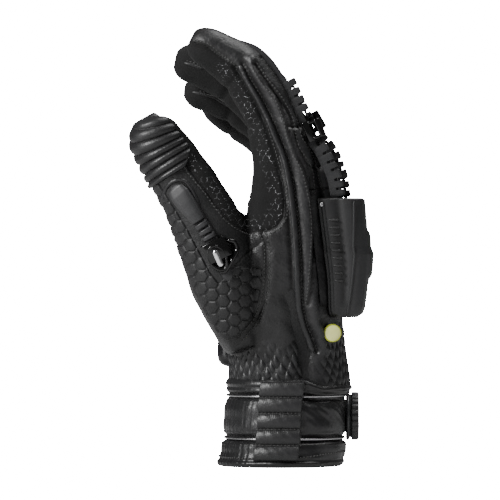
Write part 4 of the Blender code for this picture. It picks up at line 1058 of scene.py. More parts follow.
heights = np.linspace(*GATHER_SPAN, 118)[:, None]
turns_round = round_turns(720)[None, :]
band = hand_skin(heights, turns_round)
length_round = np.linalg.norm(np.diff(band[60], axis=0, append=band[60][:1]), axis=1)
gone = np.concatenate([[0], np.cumsum(length_round)[:-1]]) * (
    round(length_round.sum() / GATHER_CELL[0]) * GATHER_CELL[0] / length_round.sum()
)
wander = 0.12 * np.sin(7 * turns_round + 120 * heights) + 0.08 * np.sin(17 * turns_round)
u = (gone / GATHER_CELL[0])[None, :]
v = heights / GATHER_CELL[1] + wander
puff = np.abs(np.cos(math.pi * (u + v)) * np.cos(math.pi * (u - v))) ** 0.55
degrees_round = np.degrees(turns_round)
smooth_strip = bell(degrees_round - 295, 11.5, 4)
top = GATHER_TOP + 0.0090 * soft(300, 318, degrees_round) * soft(420, 372, degrees_round)
top = top + 0.0015 * np.sin(9 * turns_round) - 0.004 * bell(degrees_round - 262, 20)
fade = soft(0.004, -0.006, heights - top) * (1 - smooth_strip)
sunk = 0.0006 * soft(-0.001, 0.004, heights - top)
band_out = band * (1, 1, 0)
band_out[..., 0] -= hand_at(heights)[0]
band_out = unit(band_out)
lift = 0.0001 + GATHER_PUFF * (puff - 0.35) * fade + formed(band, band_out) - sunk
GATHER_DARK, GATHER_LIGHT = (0.0065, 0.0065, 0.0070), (0.0130, 0.0130, 0.0140)
gather_leather, *_ = leather_finish("gathered_leather", GATHER_DARK, GATHER_LIGHT, 0.40)
gathers = grid_piece("wrist_gathers", band, True, lift, gather_leather, "soft_leather")


# The thumb: a thick ribbed cap bonded round its tip, a flat panel with a moulded
# strip below it, and a pad embossed with hexagons over the ball of the thumb.
RIB_TURNS = np.radians(np.linspace(118, 322, 230))[None, :]
RIB_GROOVES = (0.735, 0.762, 0.797, 0.830, 0.864, 0.911, 0.960, 1.005)
RIB_HEIGHT = 0.0021
RIB_BASE = 0.0004
RIB_LEAN = 0.030

around = (RIB_TURNS - RIB_TURNS[0, 0]) / (RIB_TURNS[0, -1] - RIB_TURNS[0, 0])
t = np.linspace(0, 1, 210)[:, None]
low_share = RIB_GROOVES[0] + 0.055 * soft(0.80, 1.0, around) + 0.02 * soft(0.35, 0.0, around)
share = low_share + t * (1.0 - low_share)


def along_thumb(share, turn):
    """Points on the thumb at shares that differ from column to column: each share's
    own ring, read at its own turn."""
    flat_share, flat_turn = share.ravel(), np.broadcast_to(turn, share.shape).ravel()
    order = np.linspace(0, 1, 801)
    rings = thumb_skin(order, round_turns(360)[None, :])
    row = np.interp(flat_share, order, np.arange(801))
    column = np.degrees(flat_turn) % 360
    r0, c0 = np.floor(row).astype(int).clip(0, 799), np.floor(column).astype(int) % 360
    fr, fc = (row - r0)[:, None], (column - np.floor(column))[:, None]
    c1 = (c0 + 1) % 360
    low = rings[r0, c0] * (1 - fc) + rings[r0, c1] * fc
    high = rings[r0 + 1, c0] * (1 - fc) + rings[r0 + 1, c1] * fc
    return (low * (1 - fr) + high * fr).reshape(*share.shape, 3)


leant = share + RIB_LEAN * soft(0.76, 0.95, share) * (np.degrees(RIB_TURNS) - 240) / 60
counted = np.interp(leant, RIB_GROOVES, np.arange(len(RIB_GROOVES)))
wave = np.abs(np.sin(counted * math.pi)) ** 0.5
wave = wave + (0.85 - wave) * soft(0.955, 0.985, share)
edge = np.minimum(soft(0, 0.03, around), soft(1, 0.965, around))
ends = soft(0, 0.02, t)
lift = (RIB_BASE + RIB_HEIGHT * (wave - 0.12)) * edge * ends - 0.0009 * (1 - edge * ends)
lift = lift * soft(1.0, 0.985, share) + 0.0004 * soft(0.975, 0.99, share) * soft(1.0, 0.992, share)
RIB_DARK, RIB_LIGHT = (0.0090, 0.0090, 0.0095), (0.0170, 0.0170, 0.0180)
rib_leather, *_ = leather_finish("ribbed_leather", RIB_DARK, RIB_LIGHT, 0.40)
thumb_ribs = grid_piece("thumb_ribs", along_thumb(share, RIB_TURNS), False, lift, rib_leather, "leather")
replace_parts(thumb_ribs, "thumb_rib_pad")

# The embossed pad, in the photograph's own places.
HEX_CELL = 12.4
THENAR_OUTLINE = (
    (150, 181), (158, 182), (166, 194), (176, 210), (186, 226), (194, 241), (202, 256), (210, 272),
    (219, 283), (226, 276), (230, 268), (238, 266), (250, 266), (262.0, 268), (262.5, 284), (258.5, 302),
    (252, 316), (245, 326), (236, 336), (228, 340), (221, 337), (207, 318), (190, 284), (180, 256),
    (166, 222), (146, 185),
)


def hexagons_at(u, v, size):
    """0 at a hexagon's middle and 0.5 at its edge, on a flat grid of hexagons: the
    nearer of two offset square grids' cells, measured across three directions."""
    u, v = u / size, v / size
    first = np.stack([(u + 1000) % 1 - 0.5, (v + 1732.0508) % 1.7320508 - 0.8660254], axis=-1)
    second = np.stack([(u + 999.5) % 1 - 0.5, (v + 1731.1848) % 1.7320508 - 0.8660254], axis=-1)
    nearer = np.sum(first**2, axis=-1) < np.sum(second**2, axis=-1)
    place = np.abs(np.where(nearer[..., None], first, second))
    return np.maximum(place[..., 0], place @ (0.5, 0.8660254))


def photo_grid(low, high, step):
    """Places of the photograph between two corners, a step apart."""
    across = np.arange(low[0], high[0], step)
    down = np.arange(low[1], high[1], step)
    return np.stack(np.meshgrid(across, down, indexing="xy"), axis=-1)


PATCH_RIM, PATCH_SINK = 1.2, 0.0007


def patch(name, outline, step, lifting, material, slot):
    """A panel cut to an outline of the photograph and laid on the skin. Its height is
    lifting(spots, distance to the rim), and past its rim it sinks into the skin."""
    outline = np.asarray(outline, float)
    spots = photo_grid(outline.min(0) - PATCH_RIM, outline.max(0) + PATCH_RIM, step)
    points, met = laid(spots, skin)
    within = inside(spots, outline)
    off = beside(spots, np.concatenate([outline, outline[:1]])) * np.where(within, 1, -1)
    height = np.where(off > 0, lifting(spots, off), 0)
    height = height * soft(0, PATCH_RIM, off) - PATCH_SINK * soft(0.6, -PATCH_RIM * 0.6, off)
    rows, columns = spots.shape[:2]
    faces = grid_faces(rows, columns, False)[:, ::-1]
    good = (met & (off > -PATCH_RIM)).ravel()
    flat = points.reshape(-1, 3)
    spread = np.ptp(flat[faces][..., 1], axis=1)
    faces = faces[good[faces].all(1) & (spread < 0.004 * step)]
    used, again = np.unique(faces, return_inverse=True)
    piece = make_piece(name, flat[used], again.reshape(-1, 4), material, slot)
    out = facing(piece.data)
    if out[:, 1].mean() > 0:
        piece.data.flip_normals()
        out = -out
    raised = flat[used] + out * height.ravel()[used, None]
    piece.data.vertices.foreach_set("co", raised.ravel())
    piece.data.update()
    return piece


def embossed(spots, off):
    """Hexagons pressed in as narrow grooves, each cell slightly domed."""
    cell = hexagons_at(spots[..., 1] + 3.0, spots[..., 0] + 2.0, HEX_CELL)
    groove = soft(0.40, 0.47, cell)
    return 0.0011 - 0.00060 * groove - 0.00025 * soft(0.1, 0.47, cell)


hex_leather, *_ = leather_finish("embossed_leather", (0.0060, 0.0060, 0.0065), (0.0115, 0.0115, 0.0120), 0.50)
thenar = patch("thenar_hexagons", THENAR_OUTLINE, 0.5, embossed, hex_leather, "leather")
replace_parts(thenar, "thenar_pad")

# The thumb's moulded strip and the loop that holds it.
STRIP_ENDS = {"share": (0.345, 0.70), "turn": (275.0, 249.0)}
STRIP = {
    "along": (0.0, 0.03, 0.10, 0.285, 0.292, 0.300, 0.338, 0.345, 0.349, 0.363, 0.367, 0.374, 0.413, 0.420,
              0.424, 0.443, 0.447, 0.454, 0.494, 0.500, 0.504, 0.524, 0.528, 0.535, 0.64, 0.76, 0.88,
              0.96, 1.0),
    "rise": (0.1, 0.45, 0.57, 0.57, 0.60, 0.97, 1.0, 0.93, 0.50, 0.50, 0.93, 1.0, 1.0, 0.93, 0.50,
             0.50, 0.93, 1.0, 1.0, 0.93, 0.50, 0.50, 0.93, 1.0, 0.95, 0.78, 0.55, 0.32, 0.02),
    "wide": (0.5, 0.90, 1.00, 1.00, 1.00, 1.00, 1.0, 1.00, 0.96, 0.96, 1.00, 1.0, 1.0, 1.00, 0.96,
             0.96, 1.00, 1.0, 1.0, 1.00, 0.96, 0.96, 1.00, 1.05, 1.2, 1.38, 1.42, 1.15, 0.3),
}
STRIP_WIDTH, STRIP_HEIGHT = 0.0080, 0.0048


def thumb_out(share, turn):
    """Points of the thumb's skin and the way out of it there."""
    turn = np.asarray(turn)
    here = along_thumb(share, turn)
    run = along_thumb(share + 0.01, turn) - along_thumb(share - 0.01, turn)
    side = along_thumb(share, turn + 0.06) - along_thumb(share, turn - 0.06)
    out = unit(np.cross(side, run))
    centre = thumb_line(share)[0]
    return here, out * np.sign(np.sum(out * (here - centre), axis=-1, keepdims=True))


def rounded_section(count, square):
    """(across, up) of a flat-footed arch: half a superellipse, closed underneath."""
    turn = np.linspace(0, math.pi, count)
    c, s = np.cos(turn), np.sin(turn)
    reach = (np.abs(c) ** square + np.abs(s) ** square) ** (-1 / square)
    return np.concatenate([[c * reach, s * reach], [[-1.0, 1.0], [-0.25, -0.25]]], axis=1)


t = np.unique(np.concatenate([STRIP["along"], np.linspace(0, 1, 60)]))
share = STRIP_ENDS["share"][0] + t * (STRIP_ENDS["share"][1] - STRIP_ENDS["share"][0])
turn = np.radians(STRIP_ENDS["turn"][0] + t * (STRIP_ENDS["turn"][1] - STRIP_ENDS["turn"][0]))
line, out = thumb_out(share, turn)
run = unit(np.gradient(line, axis=0))
out = unit(out - run * np.sum(out * run, axis=1, keepdims=True))
across = np.cross(run, out)
rise = np.interp(t, STRIP["along"], STRIP["rise"]) * STRIP_HEIGHT
wide = np.interp(t, STRIP["along"], STRIP["wide"]) * STRIP_WIDTH / 2
a, b = rounded_section(17, 3.2)
rings = line[:, None] + across[:, None] * (wide[:, None] * a)[..., None]
rings = rings + out[:, None] * (rise[:, None] * b)[..., None]


def moulded_finish(name, colour, light, rough, speckle=0.05):
    """Moulded rubber or plastic: a fine grain, and slow patches of a paler tone."""
    made, tree, shader, where = new_material(name, rough)
    slow = noise(tree, where, 70.0)
    tree.links.new(mixed(tree, slow, colour, light), shader.inputs["Base Color"])
    tree.links.new(sum_of(tree, "MULTIPLY_ADD", slow, 0.16, rough - 0.08), shader.inputs["Roughness"])
    bumped(tree, shader, noise(tree, where, 1800.0, 3.0), speckle / 1000)
    return made


spine_rubber = moulded_finish("spine_rubber", (0.020, 0.020, 0.021), (0.034, 0.034, 0.036), 0.42)
thumb_strip = make_piece("thumb_strip", *capped(rings), spine_rubber, "moulding")
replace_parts(thumb_strip, "thumb_spine")

loop_gloss = moulded_finish("loop_gloss", (0.003, 0.003, 0.003), (0.006, 0.006, 0.006), 0.12, 0.01)
LOOP_WALL = 0.0016
LOOP_BEVEL = 0.00060


def loop_over(name, middle, run, out, length, room, height, replaced):
    """A moulded loop: a square arch with rounded edges on two slotted legs, whose feet
    stand on the leather. Each part is a box or the arch's outline carried along."""
    across = np.cross(run, out)
    half = room + LOOP_WALL
    foot, slot_top, post = height * 0.36, height * 0.66, 0.0016
    arch = (
        (-half, slot_top), (-half, height * 0.80), (-half * 0.92, height * 0.92), (-half * 0.74, height),
        (half * 0.74, height), (half * 0.92, height * 0.92), (half, height * 0.80), (half, slot_top),
        (half - LOOP_WALL, slot_top), (half - LOOP_WALL * 1.4, height - LOOP_WALL * 1.3),
        (LOOP_WALL * 1.4 - half, height - LOOP_WALL * 1.3), (LOOP_WALL - half, slot_top),
    )
    shapes = [(arch, -length / 2, length / 2)]
    for side in (-1, 1):
        outer, inner = side * half, side * (half - LOOP_WALL)
        for low, high, start, end in (
            (0.0, foot, -length / 2 - 0.0006, length / 2 + 0.0006),
            (foot - 0.0006, slot_top + 0.0006, -length / 2, post - length / 2),
            (foot - 0.0006, slot_top + 0.0006, length / 2 - post, length / 2),
        ):
            box = ((inner, low), (outer, low), (outer, high), (inner, high))
            shapes.append((box, start, end))
    parts = []
    for outline, start, end in shapes:
        section = np.array([middle + across * a + out * b for a, b in outline])
        count = len(outline)
        faces = grid_faces(2, count, True).tolist()
        faces += [list(range(count)), list(range(2 * count - 1, count - 1, -1))]
        parts.append((np.concatenate([section + run * start, section + run * end]), faces))
    loop = make_piece(name, *merged(parts), loop_gloss, "gloss")
    outward(loop)
    soften = loop.modifiers.new("soften", "BEVEL")
    soften.width = LOOP_BEVEL
    soften.segments = 3
    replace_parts(loop, replaced)


def outward(piece):
    """Turns a closed piece's faces outwards."""
    work = bmesh.new()
    work.from_mesh(piece.data)
    bmesh.ops.recalc_face_normals(work, faces=work.faces)
    work.to_mesh(piece.data)
    work.free()


KEEPER_AT = 0.400
KEEPER_LONG = 0.0110
keeper_share = np.array([KEEPER_AT - 0.01, KEEPER_AT, KEEPER_AT + 0.01])
from_end = (keeper_share - STRIP_ENDS["share"][0]) / (STRIP_ENDS["share"][1] - STRIP_ENDS["share"][0])
turned = STRIP_ENDS["turn"][1] - STRIP_ENDS["turn"][0]
keeper_turn = np.radians(STRIP_ENDS["turn"][0] + from_end * turned)
line, out = thumb_out(keeper_share, keeper_turn)
run = unit(line[2] - line[0])
out = unit(out[1] - run * (out[1] @ run))
loop_over(
    "thumb_loop", line[1] + out * 0.0003, run, out, KEEPER_LONG, STRIP_WIDTH / 2 + 0.0016,
    STRIP_HEIGHT + 0.0013, "thumb_keeper",
)


def polished(name, rough, scale, dark, light):
    """Bare metal, a little uneven in shade."""
    made, tree, shader, where = new_material(name, rough, Metallic=1.0)
    tree.links.new(mixed(tree, noise(tree, where, scale), dark, light), shader.inputs["Base Color"])
    return made


PIN_FROM, PIN_TO = (214.0, 249.0), (221.5, 266.5)
pin_steel = polished("polished_pin", 0.18, 400.0, (0.80, 0.80, 0.81), (0.95, 0.95, 0.96))
line, out = pressed_on((PIN_FROM, PIN_TO), skin, 1.0)
plain_welts("thumb_pin", [welt(line + out * 0.0056, out, 0.0019, 0.0014)], pin_steel, "steel")
# The loop's buckle: a glossy ring round the pin, and the bent arm beside it.
RING_MIDDLE, RING_AXES, RING_LEAN = np.array([217.5, 258.0]), (7.0, 12.5), math.radians(-25)
BUCKLE_ARM = ((224, 240), (231, 242), (234, 248), (231, 258), (226, 268), (222, 274))
turn = np.linspace(0, 2.15 * math.pi, 70)
ring = np.stack([RING_AXES[0] * np.cos(turn), RING_AXES[1] * np.sin(turn)], axis=-1)
c, r = math.cos(RING_LEAN), math.sin(RING_LEAN)
ring_line, ring_out = pressed_on(RING_MIDDLE + ring @ ((c, r), (-r, c)), skin, 1.0)
arm_line, arm_out = pressed_on(BUCKLE_ARM, skin, 1.0)
plain_welts("thumb_buckle", [
    welt(ring_line + ring_out * 0.0042, ring_out, 0.0012, 0.0026),
    welt(arm_line + arm_out * 0.0030, arm_out, 0.0016, 0.0026),
], loop_gloss, "moulding")

# A thin welt is sewn round the strip, whose tail comes out below the loop.
STRIP_WELT = (
    (163, 207), (163.5, 196), (167, 187), (174, 181), (183, 180.5), (190, 187), (195.5, 197), (199, 208),
    (200, 216),
)
line, out = pressed_on(STRIP_WELT, skin, 1.2)
make_piece("thumb_outline_welt", *welt(line, out, 0.0011, 0.0011, WELT_SINK), edge_leather, "leather")
TAIL_SHARES = (0.265, 0.352)
t = np.linspace(0, 1, 40)
share = TAIL_SHARES[0] + t * (TAIL_SHARES[1] - TAIL_SHARES[0])
turn = np.radians(275 + 26 * (STRIP_ENDS["share"][0] - share) / 0.355)
line, out = thumb_out(share, turn)
plain_welts("thumb_strip_tail", [welt(line, out, 0.0033, 0.0022, 0.0002, 16, 16)], spine_rubber, "moulding")


# The cuff: a padded leather band with two channels for the laces, gathered into pleats
# on the palm side, bound at its hem and rolled at its top lip. It has a fleece lining.
CUFF_LEATHER = 0.0026
CUFF_ROLL = 0.0022
CUFF = {
    "height":  (0.00, 0.06, 0.15, 0.27, 0.30, 0.345, 0.40, 0.56, 0.72, 0.785, 0.83, 0.87, 0.94, 1.00),
    "middle":  (-.033, -.028, -.010, 0.0, .003, .005, .006, .012, .018, .023, .027, .031, .037, .042),
    "depth":   (.500, .496, .500, .494, .494, .494, .488, .484, .486, .492, .496, .488, .488, .492),
    "breadth": (.430, .428, .424, .414, .412, .410, .408, .403, .399, .397, .396, .395, .394, .393),
    "swell":   (0.00, 0.50, 0.35, 0.15, -0.5, -0.50, 0.35, 0.70, 0.40, -0.50, -0.5, 0.35, 0.50, 0.00),
}
LACE_CHANNELS = {"lower_lace": 0.3225, "upper_lace": 0.8075}
CHANNEL_SWELL = -0.5
TOP_SWELL = 0.70
CUFF_ROWS, CUFF_COLUMNS = 120, 600
LIP_DIP = 0.0036
PLEATS = 0.00012
WRINKLES = 0.00022
HEM_ROLL = 0.0009
CHANNEL_LIPS, CHANNEL_LIP, CHANNEL_LIP_WIDTH = (0.0368, 0.0130, 0.0421, 0.0187), 0.0006, 0.0009


def cuff_skin(height, turn, grow=0.0, swell=None):
    """The cuff: a superellipse from the table, its rolls set out by swell."""
    share = np.asarray(height, float) / CUFF_HEIGHT
    roll = eased(CUFF["height"], CUFF["swell"], share) if swell is None else swell
    proud = roll * CUFF_ROLL + grow
    dorsal, across = squared(turn, HAND["square"][0])
    x = dorsal * (eased(CUFF["height"], CUFF["depth"], share) * HAND_DEPTH + proud)
    x = x + eased(CUFF["height"], CUFF["middle"], share) * HAND_DEPTH
    y = across * (eased(CUFF["height"], CUFF["breadth"], share) * HAND_BREADTH + proud)
    return np.stack([x, y, np.broadcast_to(height, x.shape)], axis=-1)


def within_turns(degrees_round, low, high, ease):
    """1 between two turns and 0 outside them, eased at both ends."""
    middle, half = (low + high) / 2, (high - low) / 2
    off = np.abs((degrees_round - middle + 180) % 360 - 180)
    return soft(half + ease, half - ease, off)


heights = np.linspace(0.0, CUFF_HEIGHT, CUFF_ROWS)[:, None]
turns_round = round_turns(CUFF_COLUMNS)[None, :]
degrees_round = np.degrees(turns_round)
share = heights / CUFF_HEIGHT
pleated = within_turns(degrees_round, 150, 243, 8)
strained = within_turns(degrees_round, 286, 344, 6) + within_turns(degrees_round, 16, 74, 6)
folds = np.sin(np.radians(degrees_round) * 62 + 1.5 * np.sin(share * 4.0)) + 0.5 * np.sin(
    np.radians(degrees_round) * 97 - 1.1 * share
)
folds = np.sign(folds) * np.abs(folds) ** 0.7
fan = np.sin(60 * (share - 0.35) + 34 * np.radians(degrees_round) + 2.0 * np.sin(9 * share))
fan = fan * np.sin(11 * np.radians(degrees_round) + 9 * share)
fan = fan * soft(0.30, 0.75, share) * soft(0.86, 0.70, share)
lift = PLEATS * folds * pleated * (0.35 + 0.65 * soft(0.9, 0.2, share)) + WRINKLES * fan * strained
lift = lift + 0.0004 * np.sin(11 * turns_round + 300 * heights) * (1 - pleated)
lift = lift + HEM_ROLL * np.sqrt(np.clip(1 - ((heights - 0.0016) / 0.0017) ** 2, 0, 1))
lift = lift - 0.0004 * bell(heights - 0.0042, 0.0008)
outer = cuff_skin(heights, turns_round)
dipped = within_turns(degrees_round, 292, 380, 12) + within_turns(degrees_round, 20, 68, 12)
dip = LIP_DIP * dipped.clip(0, 1)
lip = np.clip((share - 0.62) / 0.38, 0, 1)
outer[..., 2] -= dip * lip**1.5
lip_roll = 0.0011 * np.sqrt(np.clip(1 - ((share - 0.965) / 0.045) ** 2, 0, 1))
lips = sum(bell(heights - at, CHANNEL_LIP_WIDTH) for at in CHANNEL_LIPS)
lift = lift + lip_roll + CHANNEL_LIP * lips
out = outer * (1, 1, 0)
out[..., 0] -= eased(CUFF["height"], CUFF["middle"], share) * HAND_DEPTH
outer = outer + unit(out) * lift[..., None]
inner = cuff_skin(heights, turns_round, -CUFF_LEATHER, CHANNEL_SWELL)
inner[..., 2] -= dip * lip**1.5
seam = (outer[-1:] + inner[-1:]) / 2 + (0, 0, 0.0010)
hem = (outer[:1] + inner[:1]) / 2 - (0, 0, 0.0002)
hem[..., 2] = np.maximum(hem[..., 2], 0.0)
rings = np.concatenate([hem, outer, seam, inner[::-1], hem])
faces = grid_faces(len(rings), CUFF_COLUMNS, True)
faces = np.where(faces >= (len(rings) - 1) * CUFF_COLUMNS, faces - (len(rings) - 1) * CUFF_COLUMNS, faces)
cuff_leather, *_ = leather_finish("cuff_leather", (0.0070, 0.0070, 0.0075), (0.0140, 0.0140, 0.0150), 0.36)
cuff = make_piece("cuff_padding", rings[:-1].reshape(-1, 3), faces, cuff_leather, "soft_leather")
cuff.data.materials.append(fleece)
inside_faces = np.arange(len(faces)) // CUFF_COLUMNS > CUFF_ROWS + 1
cuff.data.polygons.foreach_set("material_index", inside_faces.astype(np.int32))
cuff.data.update()
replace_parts(cuff, "cuff")

# The hem's stitches run level round the cuff, and climb a little towards the back.
turns_line = np.radians(np.linspace(0, 360, 721))
climb = 0.0052 + 0.0030 * within_turns(np.degrees(turns_line), 300, 420, 30)
line = cuff_skin(climb, turns_line, 0.0003)
out = unit(line * (1, 1, 0))
make_piece("hem_stitches", *stitch_row(line, out, STITCH_PITCH), black_thread, "soft_leather")

# The stretch panel: five padded ribs sewn across the cuff on the thumb side.
PANEL_TURNS = (243.5, 284.5)
PANEL_SPAN = (0.075, 0.985)
PANEL_RIBS = 5
PANEL_RISE = 0.0026
t = np.linspace(0, 1, 170)[:, None]
turn = np.radians(np.linspace(*PANEL_TURNS, 120))[None, :]
heights = (PANEL_SPAN[0] + t * (PANEL_SPAN[1] - PANEL_SPAN[0])) * CUFF_HEIGHT
over = np.linspace(0, 1, 120)[None, :]
rib = np.abs(np.sin(t * PANEL_RIBS * math.pi)) ** 0.42
sides = np.minimum(soft(0, 0.05, over), soft(1, 0.95, over))
tops = np.minimum(soft(0, 0.02, t), soft(1, 0.98, t))
puckers = 0.00016 * np.sin(over * 150 + 3 * np.sin(t * 31)) * (1 - rib)
puckers = puckers + 0.00005 * np.sin(over * 31 + t * 47)
lift = (0.0007 + PANEL_RISE * (rib - 0.15) + puckers) * sides * tops - 0.0009 * (1 - sides * tops)
panel = cuff_skin(heights, turn, 0.0, TOP_SWELL)
PANEL_DARK, PANEL_LIGHT = (0.0110, 0.0110, 0.0115), (0.0200, 0.0200, 0.0210)
rib_panel_leather, *_ = leather_finish("stretch_panel_leather", PANEL_DARK, PANEL_LIGHT, 0.42)
rib_panel = grid_piece("stretch_panel", panel, False, lift, rib_panel_leather, "leather")
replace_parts(rib_panel, "cuff_rib_panel")
rows = []
for k in range(1, PANEL_RIBS):
    height = (PANEL_SPAN[0] + k / PANEL_RIBS * (PANEL_SPAN[1] - PANEL_SPAN[0])) * CUFF_HEIGHT
    line = cuff_skin(height, turn[0], 0.0009, TOP_SWELL)
    rows.append(stitch_row(line, unit(line * (1, 1, 0)), STITCH_PITCH, radius=0.00038))
make_piece("stretch_panel_stitches", *merged(rows), black_thread, "soft_leather")

# The laces: steel wires of three twisted strands, lying in the cuff's two channels.
steel = polished("steel_wire", 0.28, 900.0, (0.42, 0.42, 0.43), (0.62, 0.62, 0.63))
LACE_RADIUS = 0.00058
LACE_LAY = 0.0042
DIAL_CENTRE_HEIGHT = sum(LACE_CHANNELS.values()) / 2 * CUFF_HEIGHT
DIAL_RADIUS = 0.0135
for name, share_up in LACE_CHANNELS.items():
    height = share_up * CUFF_HEIGHT
    beside_dial = max(DIAL_RADIUS**2 - (height - DIAL_CENTRE_HEIGHT) ** 2, 0) ** 0.5
    half = float(eased(CUFF["height"], CUFF["breadth"], share_up)) * HAND_BREADTH
    start = math.atan2(beside_dial + 0.0015, half)
    angle = np.linspace(start, 2 * math.pi - start, 900)
    line = cuff_skin(height, angle, LACE_RADIUS + 0.0004, CHANNEL_SWELL)
    laid_round = 2 * math.pi * length_along(line)[:, None] / LACE_LAY
    out = np.cross(unit(np.gradient(line, axis=0)), (0.0, 0.0, 1.0))
    turn = round_turns(12)[None, :]
    radius = LACE_RADIUS * (0.86 + 0.14 * np.abs(np.cos(1.5 * (turn - laid_round))))
    rings = line[:, None] + radius[..., None] * (
        np.cos(turn)[..., None] * out[:, None] + np.sin(turn)[..., None] * np.array([0.0, 0.0, 1.0])
    )
    lace = make_piece(f"{name}_wire", *capped(rings), steel, "steel")
    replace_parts(lace, name)


# The closure dial: a moulded disc with a ribbed rim on a low base, which winds the
# laces in as it is turned. Its knob is one moulding with a stepped face.
dial_low, dial_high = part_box("dial_knob")
DIAL_RIBS = 28
DIAL_PROFILE = (
    (0.0000, 0.30), (0.0000, 0.86), (0.0010, 0.96), (0.0020, 1.00), (0.0190, 1.00), (0.0290, 0.995),
    (0.0330, 0.975), (0.0345, 0.94), (0.0338, 0.90), (0.0320, 0.87), (0.0318, 0.60), (0.0330, 0.57),
    (0.0334, 0.53), (0.0334, 0.02),
)


def round_dial(x, radius, turn):
    """Points at distances along and off the dial's axis."""
    place = (x, radius * np.cos(turn), DIAL_CENTRE_HEIGHT + radius * np.sin(turn))
    return np.stack(np.broadcast_arrays(*place), axis=-1)


depth = dial_high[0] - dial_low[0]
finely = np.linspace(0, len(DIAL_PROFILE) - 1, 14 * 6 + 1)
climb, reach = (np.interp(finely, np.arange(len(DIAL_PROFILE)), column) for column in zip(*DIAL_PROFILE))
turn = round_turns(336)[None, :]
ribs = 0.00055 * np.abs(np.sin(turn * DIAL_RIBS / 2)) ** 0.8
radius = reach[:, None] * DIAL_RADIUS - ribs * soft(0.90, 0.985, reach)[:, None]
rings = round_dial(dial_low[0] + (climb / 0.0345 * depth)[:, None], radius, turn)
dial_plastic = moulded_finish("dial_plastic", (0.026, 0.027, 0.028), (0.045, 0.046, 0.048), 0.38)
dial = make_piece("dial_disc", *capped(rings), dial_plastic, "moulding", "dial")
outward(dial)
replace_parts(dial, "dial_knob")
# Three raised grips on the dial's face, for the fingertips that turn it.
GRIP_TURNS, GRIP_REACH, GRIP_AT = np.radians((90, 210, 330)), 0.34, 0.72
grips = []
for grip_turn in GRIP_TURNS:
    turn = grip_turn + np.linspace(-GRIP_REACH, GRIP_REACH, 16)
    line = round_dial(dial_low[0] + 0.92 * depth, DIAL_RADIUS * GRIP_AT, turn)
    grips.append(welt(line, np.tile([1.0, 0.0, 0.0], (16, 1)), 0.0011, 0.0005, 0.0, 10, 6))
dial_grips = make_piece("dial_grips", *merged(grips), dial_plastic, "moulding", "dial")
outward(dial_grips)

# The dial's base: a dished collar sewn to the cuff, that the laces run into.
base_low, base_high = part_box("dial_base")
BASE_PROFILE = (
    (0.0, 0.97), (0.12, 1.0), (0.30, 1.0), (0.38, 0.985), (0.42, 0.94), (0.44, 0.90), (0.80, 0.88),
    (0.95, 0.87), (1.0, 0.85),
)
climb, reach = np.array(BASE_PROFILE).T[..., None]
x = base_low[0] + climb * (base_high[0] - base_low[0])
rings = round_dial(x, reach * (base_high[1] - base_low[1]) / 2, round_turns(128)[None, :])
collar = make_piece("dial_collar", *capped(rings), dial_plastic, "moulding")
outward(collar)
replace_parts(collar, "dial_base")


# The back of the hand: a padded leather panel with a rolled, bound lower edge, quilted
# in channels. Its grid faces in, so it is raised inwards: it lies about 3 mm under the
# hand's own leather, where it doesn't show.
PAD_TURNS = 52.0
PAD = {"low": 0.281, "low_sides": 0.077, "high": 0.920, "high_sides": -0.026}
PAD_THICKNESS = 0.0030
over = np.linspace(-1, 1, 300)[None, :]
t = np.linspace(0, 1, 220)[:, None]
low = PAD["low"] + PAD["low_sides"] * over**2
high = PAD["high"] + PAD["high_sides"] * over**2
heights = CUFF_HEIGHT + (low + t * (high - low)) * HAND_LENGTH
turn = np.radians(PAD_TURNS * over) * np.ones_like(heights)
pad = hand_skin(heights, turn)
edge = np.minimum(soft(0, 0.020, t), soft(1, 0.985, t)) * soft(1.0, 0.955, np.abs(over))
rolled = bell(t - 0.020, 0.014) - 0.5 * bell(t - 0.045, 0.008) - 0.5 * bell(t - 0.062, 0.006)
channels = -0.0009 * bell(np.abs(over) - 0.62, 0.018)
lift = (PAD_THICKNESS + 0.0007 * rolled + channels) * edge - 0.0008 * (1 - edge)
lift = lift + 0.0002 * np.sin(540 * pad[..., 2]) * np.sin(420 * pad[..., 1]) * edge
PAD_DARK, PAD_LIGHT = (0.0095, 0.0095, 0.0100), (0.0175, 0.0175, 0.0185)
pad_leather, *_ = leather_finish("back_pad_leather", PAD_DARK, PAD_LIGHT, 0.44)
back_panel = grid_piece("back_panel", pad[:, ::-1], False, lift[:, ::-1], pad_leather, "leather")
if facing(back_panel.data)[:, 0].mean() < 0:
    print("back panel faces in")
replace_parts(back_panel, "back_pad")

# The pod: a stiff moulded box over the knuckles, open towards the fingers, where the
# spines run into it. Its edges are rounded and its sides folded in at the foot.
POD = {
    "along":   (0.00, 0.03, 0.09, 0.20, 0.54, 0.60, 0.80, 1.00),
    "rise":    (0.30, 0.52, 0.64, 0.74, 1.00, 0.93, 0.98, 1.00),
    "breadth": (0.78, 0.82, 0.85, 0.88, 0.95, 0.95, 0.98, 1.00),
}
POD_SPAN = (0.294, 0.855)
POD_ACROSS = (-1.0, -1.0, -0.93, -0.80, -0.42, 0.0, 0.42, 0.80, 0.93, 1.0, 1.0)
POD_CROWN = (0.0, 0.70, 0.90, 0.97, 1.0, 1.0, 1.0, 0.97, 0.90, 0.70, 0.0)
POD_BREADTH, POD_HEIGHT, POD_WALL = 0.0860, 0.0145, 0.0026
POD_PROUD = 0.0040
POD_FOOT, POD_MOUTH = (CUFF_HEIGHT + share * HAND_LENGTH for share in POD_SPAN)
around = length_along(np.stack([np.array(POD_ACROSS) * 3, POD_CROWN], axis=-1))
fine = np.linspace(0, around[-1], 181)
across = np.interp(fine, around, POD_ACROSS)
crown = np.interp(fine, around, POD_CROWN)
soften_by = np.exp(-np.linspace(-2, 2, 9) ** 2)
soften_by /= soften_by.sum()
across_soft = np.convolve(np.pad(across, 4, mode="edge"), soften_by, "valid")
